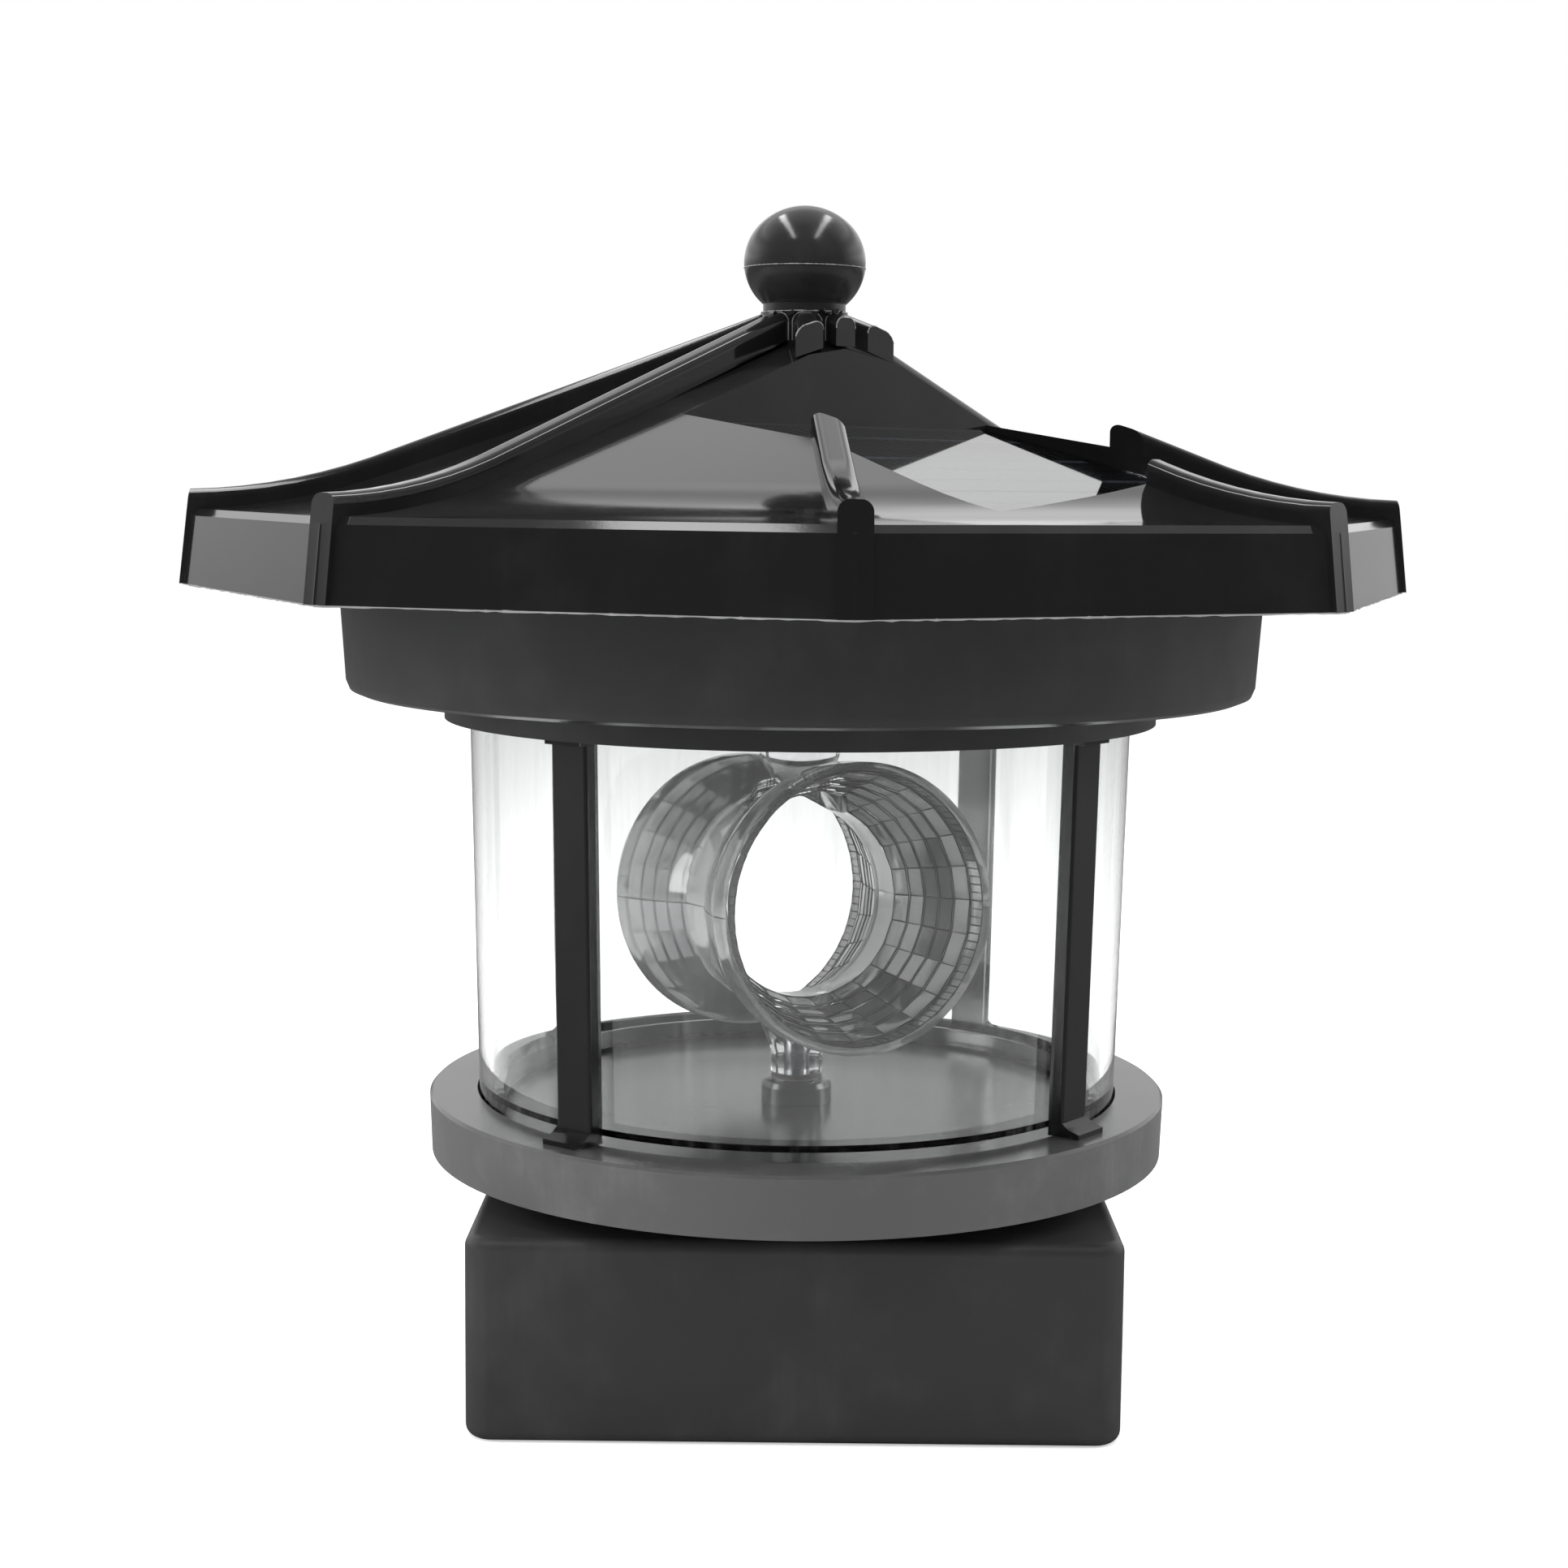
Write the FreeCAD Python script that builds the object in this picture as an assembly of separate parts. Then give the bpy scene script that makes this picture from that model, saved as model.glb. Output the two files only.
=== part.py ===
"""Solar garden lighthouse lantern: roof with a sunk solar panel, clear window with a turning
double-bell lens, round gallery and a square case that holds the cell, motor and gears.

Millimetres, +Z up. The origin is the middle of the underside, on the turning axis.
Directions round the axis are azimuths in degrees: 0 is the front (-Y), 90 is +X.
"""
import FreeCAD, Part
import math
import os

V = FreeCAD.Vector
Z = V(0, 0, 1)
ORIGIN = V(0, 0, 0)

# Square case, in two shells that meet at a seam
case_half = 37.15
case_corner = 3.2
case_wall = 2.0
case_edge_round = 1.4
lower_height = 10.1
upper_height = 13.4
tongue_depth = 1.4
tongue_thick = 1.0
seam_gap = 0.12
case_screw_at = 31.8
boss_radius = 3.6
plinth_radius = 28.5
plinth_wall = 3.0

# Round gallery that carries the window
disc_gap = 2.6
disc_height = 7.2
gallery_ledge = 6.1
disc_draft = 0.25
disc_wall = 1.8
disc_edge_round = 0.35
well_depth = 2.3
well_gap = 0.3
boss_height = 2.9
shaft_boss_radius = 4.4
disc_screw_at = 32.0
disc_boss_radius = 3.0

# Clear window, its seals and its four posts
window_radius = 39.3
window_draft = 1.03
window_wall = 1.6
window_height = 45.8
window_lip_in = 1.6
window_foot = 1.2
window_foot_height = 3.4
seal_thick = 0.5
post_turn = 7.0
post_width = 5.2
post_thick = 2.3
post_sink = 0.9
post_gap = 0.15
post_foot = 4.6
post_foot_height = 1.0
post_head = 0.5
post_round = 0.4
tenon_depth = 1.2
tenon_inset = 0.6
tenon_thick = 1.5

# Cup under the roof
lip_ledge = 4.1
lip_height = 3.3
cup_radius = 55.07
cup_draft = 0.9
cup_height = 12.5
cup_round = 1.5
cup_wall = 1.8
cup_overlap = 2.6
pillar_radius = 3.6

# Eight-sided roof
roof_sides = 8
roof_turn = 3.92
roof_radius = 75.0
roof_draft = 1.0
skirt_height = 8.9
eave_run = 22.0
eave_rise = 4.0
roof_slope = 20.6
roof_wall = 2.0
eave_round = 0.8
bead_width = 3.5
bead_height = 2.4
bead_round = 1.2
bead_root = 1.0
collar_radius = 5.2
collar_top = 0.65

# Solar panel in its pocket
pocket_near = 6.6
pocket_far = 51.0
pocket_half = 28.1
panel_low_z = 9.35
panel_slope = 13.1
panel_gap = 0.25
resin_thick = 0.6
cell_thick = 0.3
board_thick = 1.0
cell_rows = 4
cell_gap = 0.8
cell_margin = 2.2
pocket_wall = 1.6

# Ball on the roof
ball_radius = 7.35
ball_half_height = 6.8
ball_neck = 1.0
ball_neck_radius = 5.0
ball_side_round = 6.4
ball_spigot = 2.4
ball_spigot_length = 7.0

# Turning lens
lens_yaw = 26.0
lens_lean = 3.7
lens_height = 23.3
lens_radius = 17.5
lens_half_length = 17.0
lens_rim_wall = 1.1
lens_rim_band = 2.6
lens_bore = 12.0
lens_waist = 13.9
lens_waist_half = 2.5
lens_sectors = 24
lens_rows = 5
lens_step = 0.28
lens_neck_radius = 3.25
lens_neck_length = 2.7
lens_stem_radius = 5.6
neck_gap = 0.6

# Shaft, bushes, pins and gears
shaft_radius = 1.0
running_gap = 0.05
bush_wall = 1.2
bush_flange = 0.9
bush_flange_thick = 0.3
pin_radius = 0.8
module = 0.6
pressure_angle = 25.0
tooth_top = 0.54
tooth_root = 0.75
backlash = 0.14
mesh_gap = 0.1
pinion_teeth = 10
wheel_teeth = 30
output_teeth = 36
gear_thick = 1.3
gear_step = 0.3
hub_radius = 1.8
second_gear_angle = 60.0
plate_thick = 1.4
plate_depth = 5.5
plate_posts = [(-24.0, 6.0), (17.0, -6.0), (17.0, 27.0)]
plate_rim = 3.4

# Motor
motor_at = (-13.0, 18.5)
motor_radius = 10.0
motor_height = 11.2
motor_nose = 3.0
motor_shaft_radius = 0.75
motor_screw_at = 6.0

# Cell, contacts and switch
cell_radius = 7.2
cell_length = 49.5
cell_nub_radius = 2.7
cell_nub_length = 1.0
cell_y = -22.0
cell_lift = 0.5
contact_thick = 0.4
spring_wire = 0.3
spring_radius = 3.2
spring_length = 3.4
spring_turns = 3.5
switch_at = (13.0, 8.0)
switch_size = (12.0, 6.0, 4.5)
switch_travel = 3.2
knob_size = (3.0, 3.0)
switch_recess = 1.2
switch_gap = 0.2

# Lamp and board in the cup
lamp_radius = 5.0
lamp_length = 10.0
lamp_flange = 0.6
holder_wall = 1.8
board_size = (36.0, 28.0)
board_lift = 2.4
board_screw_at = 15.0
lead_radius = 0.55
lead_gap = 0.2
lead_bend = 3.0
lead_ledge = 2.45
lead_entry = 38.5
screw_radius = 1.25
screw_head_radius = 2.6
screw_head_height = 1.6
screw_gap = 0.3
small_screw_radius = 0.9
case_screw_seat = 4.2
roof_screw_floor = 2.6

# Sizes and heights worked out from the sizes above
disc_radius = window_radius + gallery_ledge
lip_radius = window_radius + lip_ledge
roof_screw_at = (lip_radius + cup_radius) / 2
well_radius = window_radius + well_gap
seam_z = lower_height
case_top = seam_z + upper_height
disc_bottom = case_top + disc_gap
disc_top = disc_bottom + disc_height
floor_z = disc_top - well_depth
disc_under = floor_z - disc_wall
lip_z = disc_top + window_height
ceiling_z = lip_z + window_lip_in + seal_thick
cup_z = lip_z + lip_height
roof_z = cup_z + cup_height
cup_top = roof_z + cup_overlap
eave_z = roof_z + skirt_height
half_side = 180.0 / roof_sides
flat = math.cos(math.radians(half_side))
slope = math.tan(math.radians(roof_slope))
bend_radius = roof_radius - roof_draft - eave_run
bend_z = eave_z + eave_rise
peak_z = bend_z + bend_radius * slope
ball_z = peak_z + collar_top
case_ceiling = case_top - case_wall
plate_top = case_ceiling - plate_depth
shaft_top = disc_top + neck_gap + lens_neck_length + 4.0
neck_z = floor_z + boss_height + bush_flange_thick + neck_gap
lens_z = disc_top + lens_height
roof_screw_seat = cup_z + roof_screw_floor
window_low = floor_z + seal_thick
window_high = lip_z + window_lip_in
seat_z = roof_z + cup_overlap - 0.5

part_files = {}


def around(radius, azimuth, z=0.0):
    """Point at a radius from the axis, in the direction of an azimuth."""
    turn = math.radians(azimuth)
    return V(radius * math.sin(turn), -radius * math.cos(turn), z)


def rod(radius, low, high, x=0.0, y=0.0):
    return Part.makeCylinder(radius, high - low, V(x, y, low), Z)


def ring(outer, inner, low, high, x=0.0, y=0.0):
    return rod(outer, low, high, x, y).cut(rod(inner, low - 1, high + 1, x, y))


def block(x_low, x_high, y_low, y_high, low, high):
    return Part.makeBox(x_high - x_low, y_high - y_low, high - low, V(x_low, y_low, low))


def turned(shape, azimuth):
    copy = shape.copy()
    copy.rotate(ORIGIN, Z, azimuth)
    return copy


def joined(shapes):
    return shapes[0].multiFuse(shapes[1:]).removeSplitter()


def without(shape, cutters):
    return shape.cut(Part.makeCompound(cutters))


def lathe(points):
    """Solid turned about Z from an outline of (radius, z) points."""
    outline = Part.makePolygon([V(r, 0, z) for r, z in points + points[:1]])
    return Part.Face(outline).revolve(ORIGIN, Z, 360)


def upright(points, width, azimuth):
    """Slab of a width, cut to an outline of (radius, z) points, standing along an azimuth."""
    outline = Part.makePolygon([V(0, -r, z) for r, z in points + points[:1]])
    slab = Part.Face(outline).extrude(V(width, 0, 0))
    slab.translate(V(-width / 2, 0, 0))
    return turned(slab, azimuth)


def square(half, corner, low, high):
    body = block(-half, half, -half, half, low, high)
    uprights = [e for e in body.Edges if abs(e.tangentAt(e.FirstParameter).z) > 0.9]
    return body.makeFillet(corner, uprights)


def tangent_arc(start, direction, end):
    """Arc that leaves a point in a direction and ends at another point, in the XZ plane."""
    chord = end - start
    normal = V(-direction.z, 0, direction.x)
    radius = chord.dot(chord) / (2 * chord.dot(normal))
    centre = start + normal * radius
    middle = (start + end) * 0.5 - centre
    middle.normalize()
    return Part.Arc(start, centre + middle * abs(radius), end).toShape()


def screw(point, up, length, radius=screw_radius, head=screw_head_radius, height=screw_head_height):
    """Pan screw with its head's seat at a point, and its shank along the up vector."""
    shank = Part.makeCylinder(radius, length, point, up)
    cap = Part.makeCylinder(head, height, point, up * -1)
    rim = max(cap.Edges, key=lambda e: (e.CenterOfMass - point).dot(up * -1) if e.Closed else -1)
    cap = cap.makeFillet(height * 0.4, [rim])
    slot = Part.makeBox(head * 1.2, head * 0.3, height * 0.45, V(-head * 0.6, -head * 0.15, 0))
    cross = slot.fuse(turned(slot, 90))
    cross.Placement = FreeCAD.Placement(point + up * -height, FreeCAD.Rotation(Z, up))
    return shank.fuse(cap).cut(cross)


def lead(points, radius, label, largest=100.0):
    """Round lead along straight runs that join in arcs as large as the runs and clips allow."""
    edges = []
    last = points[0]
    radii = []
    for before, corner, after in zip(points, points[1:], points[2:]):
        back = before - corner
        ahead = after - corner
        run = min(back.Length, ahead.Length) * 0.45
        back.normalize()
        ahead.normalize()
        half = math.acos(max(-1.0, min(1.0, back.dot(ahead)))) / 2
        bend = min(run * math.tan(half), largest)
        run = bend / math.tan(half)
        start = corner + back * run
        end = corner + ahead * run
        toward = back + ahead
        toward.normalize()
        middle = corner + toward * (run / math.cos(half) - bend)
        edges.append(Part.LineSegment(last, start).toShape())
        edges.append(Part.Arc(start, middle, end).toShape())
        radii.append(bend)
        last = end
    edges.append(Part.LineSegment(last, points[-1]).toShape())
    path = Part.Wire(edges)
    first_run = points[1] - points[0]
    section = Part.Wire([Part.makeCircle(radius, points[0], first_run)])
    tube = path.makePipeShell([section], True, True)
    expected = math.pi * radius ** 2 * path.Length
    print(label, "bends", [round(r, 1) for r in radii], "volume ratio", round(tube.Volume / expected, 3))
    return tube


def keep(name, shape):
    if shape.ShapeType == "Compound" and len(shape.Solids) == 1:
        shape = shape.Solids[0]
    part_files[name] = shape


# ---- Gear places: each wheel stands off the last by the pair's own centre distance ----

def centre_distance(teeth_a, teeth_b):
    return module * (teeth_a + teeth_b) / 2 + mesh_gap


output_distance = centre_distance(pinion_teeth, output_teeth)
wheel_distance = centre_distance(pinion_teeth, wheel_teeth)
second_at = V(output_distance * math.cos(math.radians(second_gear_angle)),
              output_distance * math.sin(math.radians(second_gear_angle)), 0)
motor_place = V(motor_at[0], motor_at[1], 0)
to_motor = motor_place - second_at
first_at = second_at + to_motor * 0.5
side = V(to_motor.y, -to_motor.x, 0)
side.normalize()
first_at = first_at + side * math.sqrt(wheel_distance ** 2 - (to_motor.Length / 2) ** 2)

level_one = plate_top + gear_step
level_two = level_one + gear_thick + gear_step
level_three = level_two + gear_thick + gear_step


def tooth_angle(radius, teeth):
    """Half of a tooth's angle at a radius, on an involute flank."""
    pitch = module * teeth / 2
    base = pitch * math.cos(math.radians(pressure_angle))

    def involute(r):
        turn = math.acos(min(1.0, base / r))
        return math.tan(turn) - turn

    half = math.pi / (2 * teeth) - backlash / (2 * pitch)
    return half + involute(pitch) - involute(max(radius, base))


def toothed(teeth, phase, low, high, centre):
    """Spur gear blank; phase is the direction, in degrees, that one tooth points in."""
    pitch = module * teeth / 2
    base = pitch * math.cos(math.radians(pressure_angle))
    root = pitch - tooth_root
    radii = [root, pitch, pitch + tooth_top]
    if base > root:
        radii.insert(1, base)
    points = []
    for tooth in range(teeth):
        middle = math.radians(phase) + 2 * math.pi * tooth / teeth
        flank = [(r, tooth_angle(r, teeth)) for r in radii]
        turns = [(r, middle - a) for r, a in flank] + [(r, middle + a) for r, a in reversed(flank)]
        points += [V(r * math.cos(t), r * math.sin(t), low) for r, t in turns]
    blank = Part.Face(Part.makePolygon(points + points[:1])).extrude(V(0, 0, high - low))
    blank.translate(V(centre.x, centre.y, 0))
    return blank


def meshed_phase(phase, teeth, centre, mate_teeth, mate_centre):
    """Phase of a mating gear, so that its gap faces the first gear's tooth."""
    line = math.degrees(math.atan2(mate_centre.y - centre.y, mate_centre.x - centre.x))
    pitch = 360.0 / teeth
    offset = (phase - line + pitch / 2) % pitch - pitch / 2
    return line + 180 + 180.0 / mate_teeth - offset * teeth / mate_teeth


output_phase = 0.0
second_pinion_phase = meshed_phase(output_phase, output_teeth, ORIGIN, pinion_teeth, second_at)
second_wheel_phase = second_pinion_phase
first_pinion_phase = meshed_phase(second_wheel_phase, wheel_teeth, second_at, pinion_teeth, first_at)
first_wheel_phase = first_pinion_phase
motor_phase = meshed_phase(first_wheel_phase, wheel_teeth, first_at, pinion_teeth, motor_place)


# ---- Case ----

screw_corners = [(sx * case_screw_at, sy * case_screw_at) for sx in (-1, 1) for sy in (-1, 1)]
disc_screw_places = [around(disc_screw_at, azimuth) for azimuth in (0, 90, 180, 270)]
inner_half = case_half - case_wall
inner_corner = case_corner - case_wall
contact_x = cell_length / 2 + cell_nub_length + contact_thick / 2
spring_end = -(cell_length / 2 + spring_length)
cell_z = case_wall + cell_lift + cell_radius
lead_at = around(window_radius + lead_ledge, post_turn + 135)
entry_at = around(lead_entry, post_turn + 135)


def lower_cover():
    body = square(case_half, case_corner, 0, seam_z)
    base_rim = [e for e in body.Edges if e.BoundBox.ZMax < 0.01]
    body = body.makeFillet(case_edge_round, base_rim)
    body = body.cut(square(inner_half, inner_corner, case_wall, seam_z + 1))
    pieces = [body]
    for x, y in screw_corners:
        pieces.append(rod(boss_radius, case_wall / 2, seam_z, x, y))
    saddle_top = cell_z - 1.0
    for x in (-cell_length * 0.3, cell_length * 0.3):
        pieces.append(block(x - 0.6, x + 0.6, cell_y - 8.4, cell_y + 8.4, case_wall / 2, saddle_top))
    for x in (contact_x, spring_end):
        out = math.copysign(1.0, x)
        low, high = sorted((x + out * contact_thick / 2, x + out * (contact_thick / 2 + 1.2)))
        pieces.append(block(low, high, cell_y - 6.5, cell_y + 6.5, case_wall / 2, seam_z - 0.3))
    sx, sy = switch_at
    pad_x = switch_size[0] / 2 + 1.5
    pad_y = switch_size[1] / 2 + 1.5
    pieces.append(block(sx - pad_x, sx + pad_x, sy - pad_y, sy + pad_y, case_wall / 2,
                        case_wall + switch_recess))
    body = joined(pieces)
    cutters = []
    for x, y in screw_corners:
        cutters.append(rod(screw_radius + screw_gap, -1, seam_z + 1, x, y))
        cutters.append(rod(screw_head_radius + screw_gap, -1, case_screw_seat, x, y))
    cutters.append(Part.makeCylinder(cell_radius + 0.15, cell_length * 0.8,
                                     V(-cell_length * 0.4, cell_y, cell_z), V(1, 0, 0)))
    recess_x = (knob_size[0] + switch_travel) / 2 + 2.5
    cutters.append(block(sx - recess_x, sx + recess_x, sy - 3.2, sy + 3.2, -1, switch_recess))
    slot_x = (knob_size[0] + switch_travel) / 2 + switch_gap
    slot_y = knob_size[1] / 2 + switch_gap
    cutters.append(block(sx - slot_x, sx + slot_x, sy - slot_y, sy + slot_y, -1, case_wall + 5))
    return without(body, cutters)


def upper_case():
    body = square(case_half, case_corner, seam_z, case_top)
    top_rim = [e for e in body.Edges if e.BoundBox.ZMin > case_top - 0.01]
    body = body.makeFillet(case_edge_round, top_rim)
    body = body.cut(square(inner_half, inner_corner, seam_z - 1, case_ceiling))
    tongue_half = inner_half - seam_gap
    tongue = square(tongue_half, inner_corner, seam_z - tongue_depth, seam_z + 2)
    tongue = tongue.cut(square(tongue_half - tongue_thick, inner_corner, seam_z - 9, seam_z + 9))
    clear = [rod(boss_radius + seam_gap, seam_z - 9, seam_z, x, y) for x, y in screw_corners]
    pieces = [body, without(tongue, clear)]
    for x, y in screw_corners:
        pieces.append(rod(boss_radius, seam_z, case_ceiling + 0.5, x, y))
    pieces.append(ring(plinth_radius, plinth_radius - plinth_wall, case_top - 0.5, disc_under))
    for x, y in plate_posts:
        pieces.append(rod(2.6, plate_top, case_ceiling + 0.5, x, y))
    body = joined(pieces)
    cutters = [rod(shaft_radius + 2.0, case_ceiling - 1, case_top + 1)]
    for x, y in screw_corners:
        cutters.append(rod(screw_radius, seam_z - 1, seam_z + 9, x, y))
    for x, y in plate_posts:
        cutters.append(rod(small_screw_radius, plate_top - 1, plate_top + 4.2, x, y))
    for place in disc_screw_places:
        cutters.append(rod(screw_radius + screw_gap, case_ceiling - 1, case_top + 1, place.x, place.y))
    cutters.append(rod(lead_radius + lead_gap, case_ceiling - 1, case_top + 1, entry_at.x, entry_at.y))
    return without(body, cutters)


def case_screws():
    length = seam_z - case_screw_seat + 8
    return Part.makeCompound([screw(V(x, y, case_screw_seat), Z, length) for x, y in screw_corners])


# ---- Gear plate, motor and gears ----

motor_screw_line = first_at - motor_place
motor_screw_line = V(-motor_screw_line.y, motor_screw_line.x, 0)
motor_screw_line.normalize()
motor_screw_places = [motor_place + motor_screw_line * (s * motor_screw_at) for s in (-1, 1)]
plate_low = plate_top - plate_thick
motor_low = plate_low - motor_height
lower_bush_low = plate_low - 0.6


def gear_plate():
    left = plate_posts[0][0] - plate_rim
    right = plate_posts[1][0] + plate_rim
    front = plate_posts[1][1] - plate_rim
    back = plate_posts[2][1] + plate_rim
    outline = [(left, 2.0), (left, back - 6.4), (left + 6.4, back), (right, back), (right, front),
               (motor_at[0] + 5.0, front)]
    points = [V(x, y, plate_low) for x, y in outline]
    plate = Part.Face(Part.makePolygon(points + points[:1])).extrude(V(0, 0, plate_thick))
    uprights = [e for e in plate.Edges if abs(e.tangentAt(e.FirstParameter).z) > 0.9]
    plate = plate.makeFillet(2.0, uprights)
    cutters = [rod(shaft_radius + running_gap + bush_wall, plate_low - 1, plate_top + 1)]
    cutters.append(rod(motor_nose + 0.1, plate_low - 1, plate_top + 1, *motor_at))
    for place in (first_at, second_at):
        cutters.append(rod(pin_radius, plate_low - 1, plate_top + 1, place.x, place.y))
    for x, y in plate_posts:
        cutters.append(rod(small_screw_radius + 0.2, plate_low - 1, plate_top + 1, x, y))
    for place in motor_screw_places:
        cutters.append(rod(small_screw_radius + 0.1, plate_low - 1, plate_top + 1, place.x, place.y))
    return without(plate, cutters)


def plate_screws():
    return Part.makeCompound([screw(V(x, y, plate_low), Z, 5.0, small_screw_radius, 1.8, 1.2)
                              for x, y in plate_posts])


def motor_screws():
    return Part.makeCompound([screw(V(p.x, p.y, plate_top), V(0, 0, -1), plate_thick + 1.6,
                                    small_screw_radius, 1.6, 1.0) for p in motor_screw_places])


def motor_can():
    x, y = motor_at
    can = rod(motor_radius, motor_low, plate_low, x, y)
    can = can.makeFillet(1.0, [e for e in can.Edges if e.Closed and e.CenterOfMass.z < motor_low + 0.1])
    flats = block(x - 20, x + 20, y + motor_radius * 0.86, y + 20, motor_low - 1, plate_low + 1)
    flats = flats.fuse(block(x - 20, x + 20, y - 20, y - motor_radius * 0.86, motor_low - 1, plate_low + 1))
    can = can.cut(flats)
    can = can.fuse(rod(motor_nose, plate_low - 0.5, plate_top - 0.3, x, y))
    cutters = [rod(motor_shaft_radius + running_gap, motor_low + 2, plate_top + 1, x, y)]
    for place in motor_screw_places:
        cutters.append(rod(small_screw_radius, plate_low - 1.8, plate_low + 0.1, place.x, place.y))
    return without(can, cutters)


def motor_tags():
    """Two solder tags that stand out of the can's end."""
    x, y = motor_at
    tags = []
    for offset in (-4.0, 4.0):
        tags.append(block(x + offset - 0.8, x + offset + 0.8, y - motor_radius * 0.86 - 1.6,
                          y - motor_radius * 0.86, motor_low + 1.5, motor_low + 1.9))
    return Part.makeCompound(tags)


def motor_shaft():
    return rod(motor_shaft_radius, motor_low + 2.3, level_one + gear_thick + 0.4, *motor_at)


def motor_pinion():
    gear = toothed(pinion_teeth, motor_phase, level_one - 0.1, level_one + gear_thick + 0.1, motor_place)
    return gear.cut(rod(motor_shaft_radius, level_one - 2, level_one + 5, *motor_at))


def compound_gear(centre, wheel_low, wheel_phase, pinion_phase, pinion_high):
    """Large wheel with a pinion moulded on top and a short hub under it."""
    wheel = toothed(wheel_teeth, wheel_phase, wheel_low, wheel_low + gear_thick, centre)
    small = toothed(pinion_teeth, pinion_phase, wheel_low + gear_thick, pinion_high, centre)
    hub = rod(hub_radius, plate_top + running_gap, wheel_low, centre.x, centre.y)
    web = ring(module * wheel_teeth / 2 - 1.9, 4.2, wheel_low + gear_thick - 0.35, wheel_low + 9,
               centre.x, centre.y)
    gear = wheel.cut(web).fuse(hub).fuse(small)
    return gear.cut(rod(pin_radius + running_gap, 0, case_top, centre.x, centre.y))


def output_gear():
    gear = toothed(output_teeth, output_phase, level_three, level_three + gear_thick, ORIGIN)
    web = ring(module * output_teeth / 2 - 1.9, 3.4, level_three - 1, level_three + 0.35)
    gear = gear.cut(web).fuse(rod(2.4, plate_top + bush_flange_thick + running_gap, level_three + 0.5))
    return gear.cut(rod(shaft_radius, 0, case_top))


def gear_pins():
    return Part.makeCompound([rod(pin_radius, plate_low, case_ceiling - 0.05, p.x, p.y)
                              for p in (first_at, second_at)])


def flanged_bush(low, high, bore, blind):
    outer = bore + bush_wall
    body = rod(outer, low, high - bush_flange_thick)
    body = body.fuse(rod(outer + bush_flange, high - bush_flange_thick, high))
    return body.cut(rod(bore, low + blind if blind else low - 1, high + 1))


# ---- Gallery ----

boss_top = floor_z + boss_height


def gallery_disc():
    low_r = disc_radius - disc_draft
    in_low = low_r - disc_wall
    wall_r = well_radius + disc_wall
    bush_r = shaft_radius + running_gap + bush_wall
    hub_low = disc_under - 1.2
    round_z = disc_top - disc_edge_round
    outline = [(low_r, disc_bottom), (disc_radius, round_z), (disc_radius - disc_edge_round, disc_top),
               (well_radius, disc_top), (well_radius, floor_z), (shaft_boss_radius, floor_z),
               (shaft_boss_radius, boss_top - 0.9), (shaft_boss_radius - 0.35, boss_top - 0.3),
               (shaft_boss_radius - 1.1, boss_top), (bush_r, boss_top), (bush_r, hub_low),
               (bush_r + 2.4, hub_low), (bush_r + 2.4, disc_under), (wall_r, disc_under),
               (wall_r, disc_top - disc_wall), (in_low, disc_top - disc_wall), (in_low, disc_bottom)]
    body = lathe(outline)
    pieces = [body]
    for place in disc_screw_places:
        pieces.append(rod(disc_boss_radius, case_top, disc_under + 0.5, place.x, place.y))
    body = joined(pieces)
    cutters = [rod(screw_radius, case_top - 1, disc_under + 0.5, p.x, p.y) for p in disc_screw_places]
    for azimuth in post_azimuths:
        cutters.append(upright(tenon_outline(well_radius, disc_top - tenon_depth - 0.1, disc_top + 1, 0.1),
                               tenon_width + 0.2, azimuth))
    cutters.append(rod(lead_radius + lead_gap, disc_under - 1, disc_top + 1, lead_at.x, lead_at.y))
    return without(body, cutters)


def disc_screws():
    length = case_wall + (disc_under - case_top) - 0.4
    return Part.makeCompound([screw(V(p.x, p.y, case_ceiling), Z, length) for p in disc_screw_places])


# ---- Window and posts ----

post_azimuths = [post_turn + 45 + 90 * i for i in range(4)]
post_names = ["post_front_right", "post_back_right", "post_back_left", "post_front_left"]
tenon_width = post_width - 1.0
lip_in = window_radius + window_draft + 0.25


def window_r(z):
    """Outer radius of the window at a height."""
    return window_radius + window_draft * (z - window_low) / (window_high - window_low)


def post_in(z):
    return window_r(z) - post_sink


def window_tube():
    top_r = window_radius + window_draft
    foot_z = window_low + window_foot_height
    foot_r = window_radius - window_wall - window_foot
    low_in = window_radius - window_wall
    outline = [(window_radius, window_low), (top_r, window_high), (top_r - window_wall, window_high),
               (low_in + 0.1, foot_z), (foot_r, foot_z - 1.0), (foot_r, window_low)]
    tube = lathe(outline)
    channels = []
    for azimuth in post_azimuths:
        low, high = disc_top - post_gap, lip_z + post_gap
        outline = [(post_in(low) - post_gap, low), (window_r(high) + 5, low), (window_r(high) + 5, high),
                   (post_in(high) - post_gap, high)]
        channels.append(upright(outline, post_width + 2 * post_gap, azimuth))
    return without(tube, channels)


def seal(outer, width, low):
    return ring(outer, outer - width, low, low + seal_thick)


def tenon_outline(wall, low, high, gap):
    """Section of a tenon that stands a little outside the wall round the window's end."""
    near = wall + tenon_inset - gap
    far = wall + tenon_inset + tenon_thick + gap
    return [(near, low), (far, low), (far, high), (near, high)]


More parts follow.
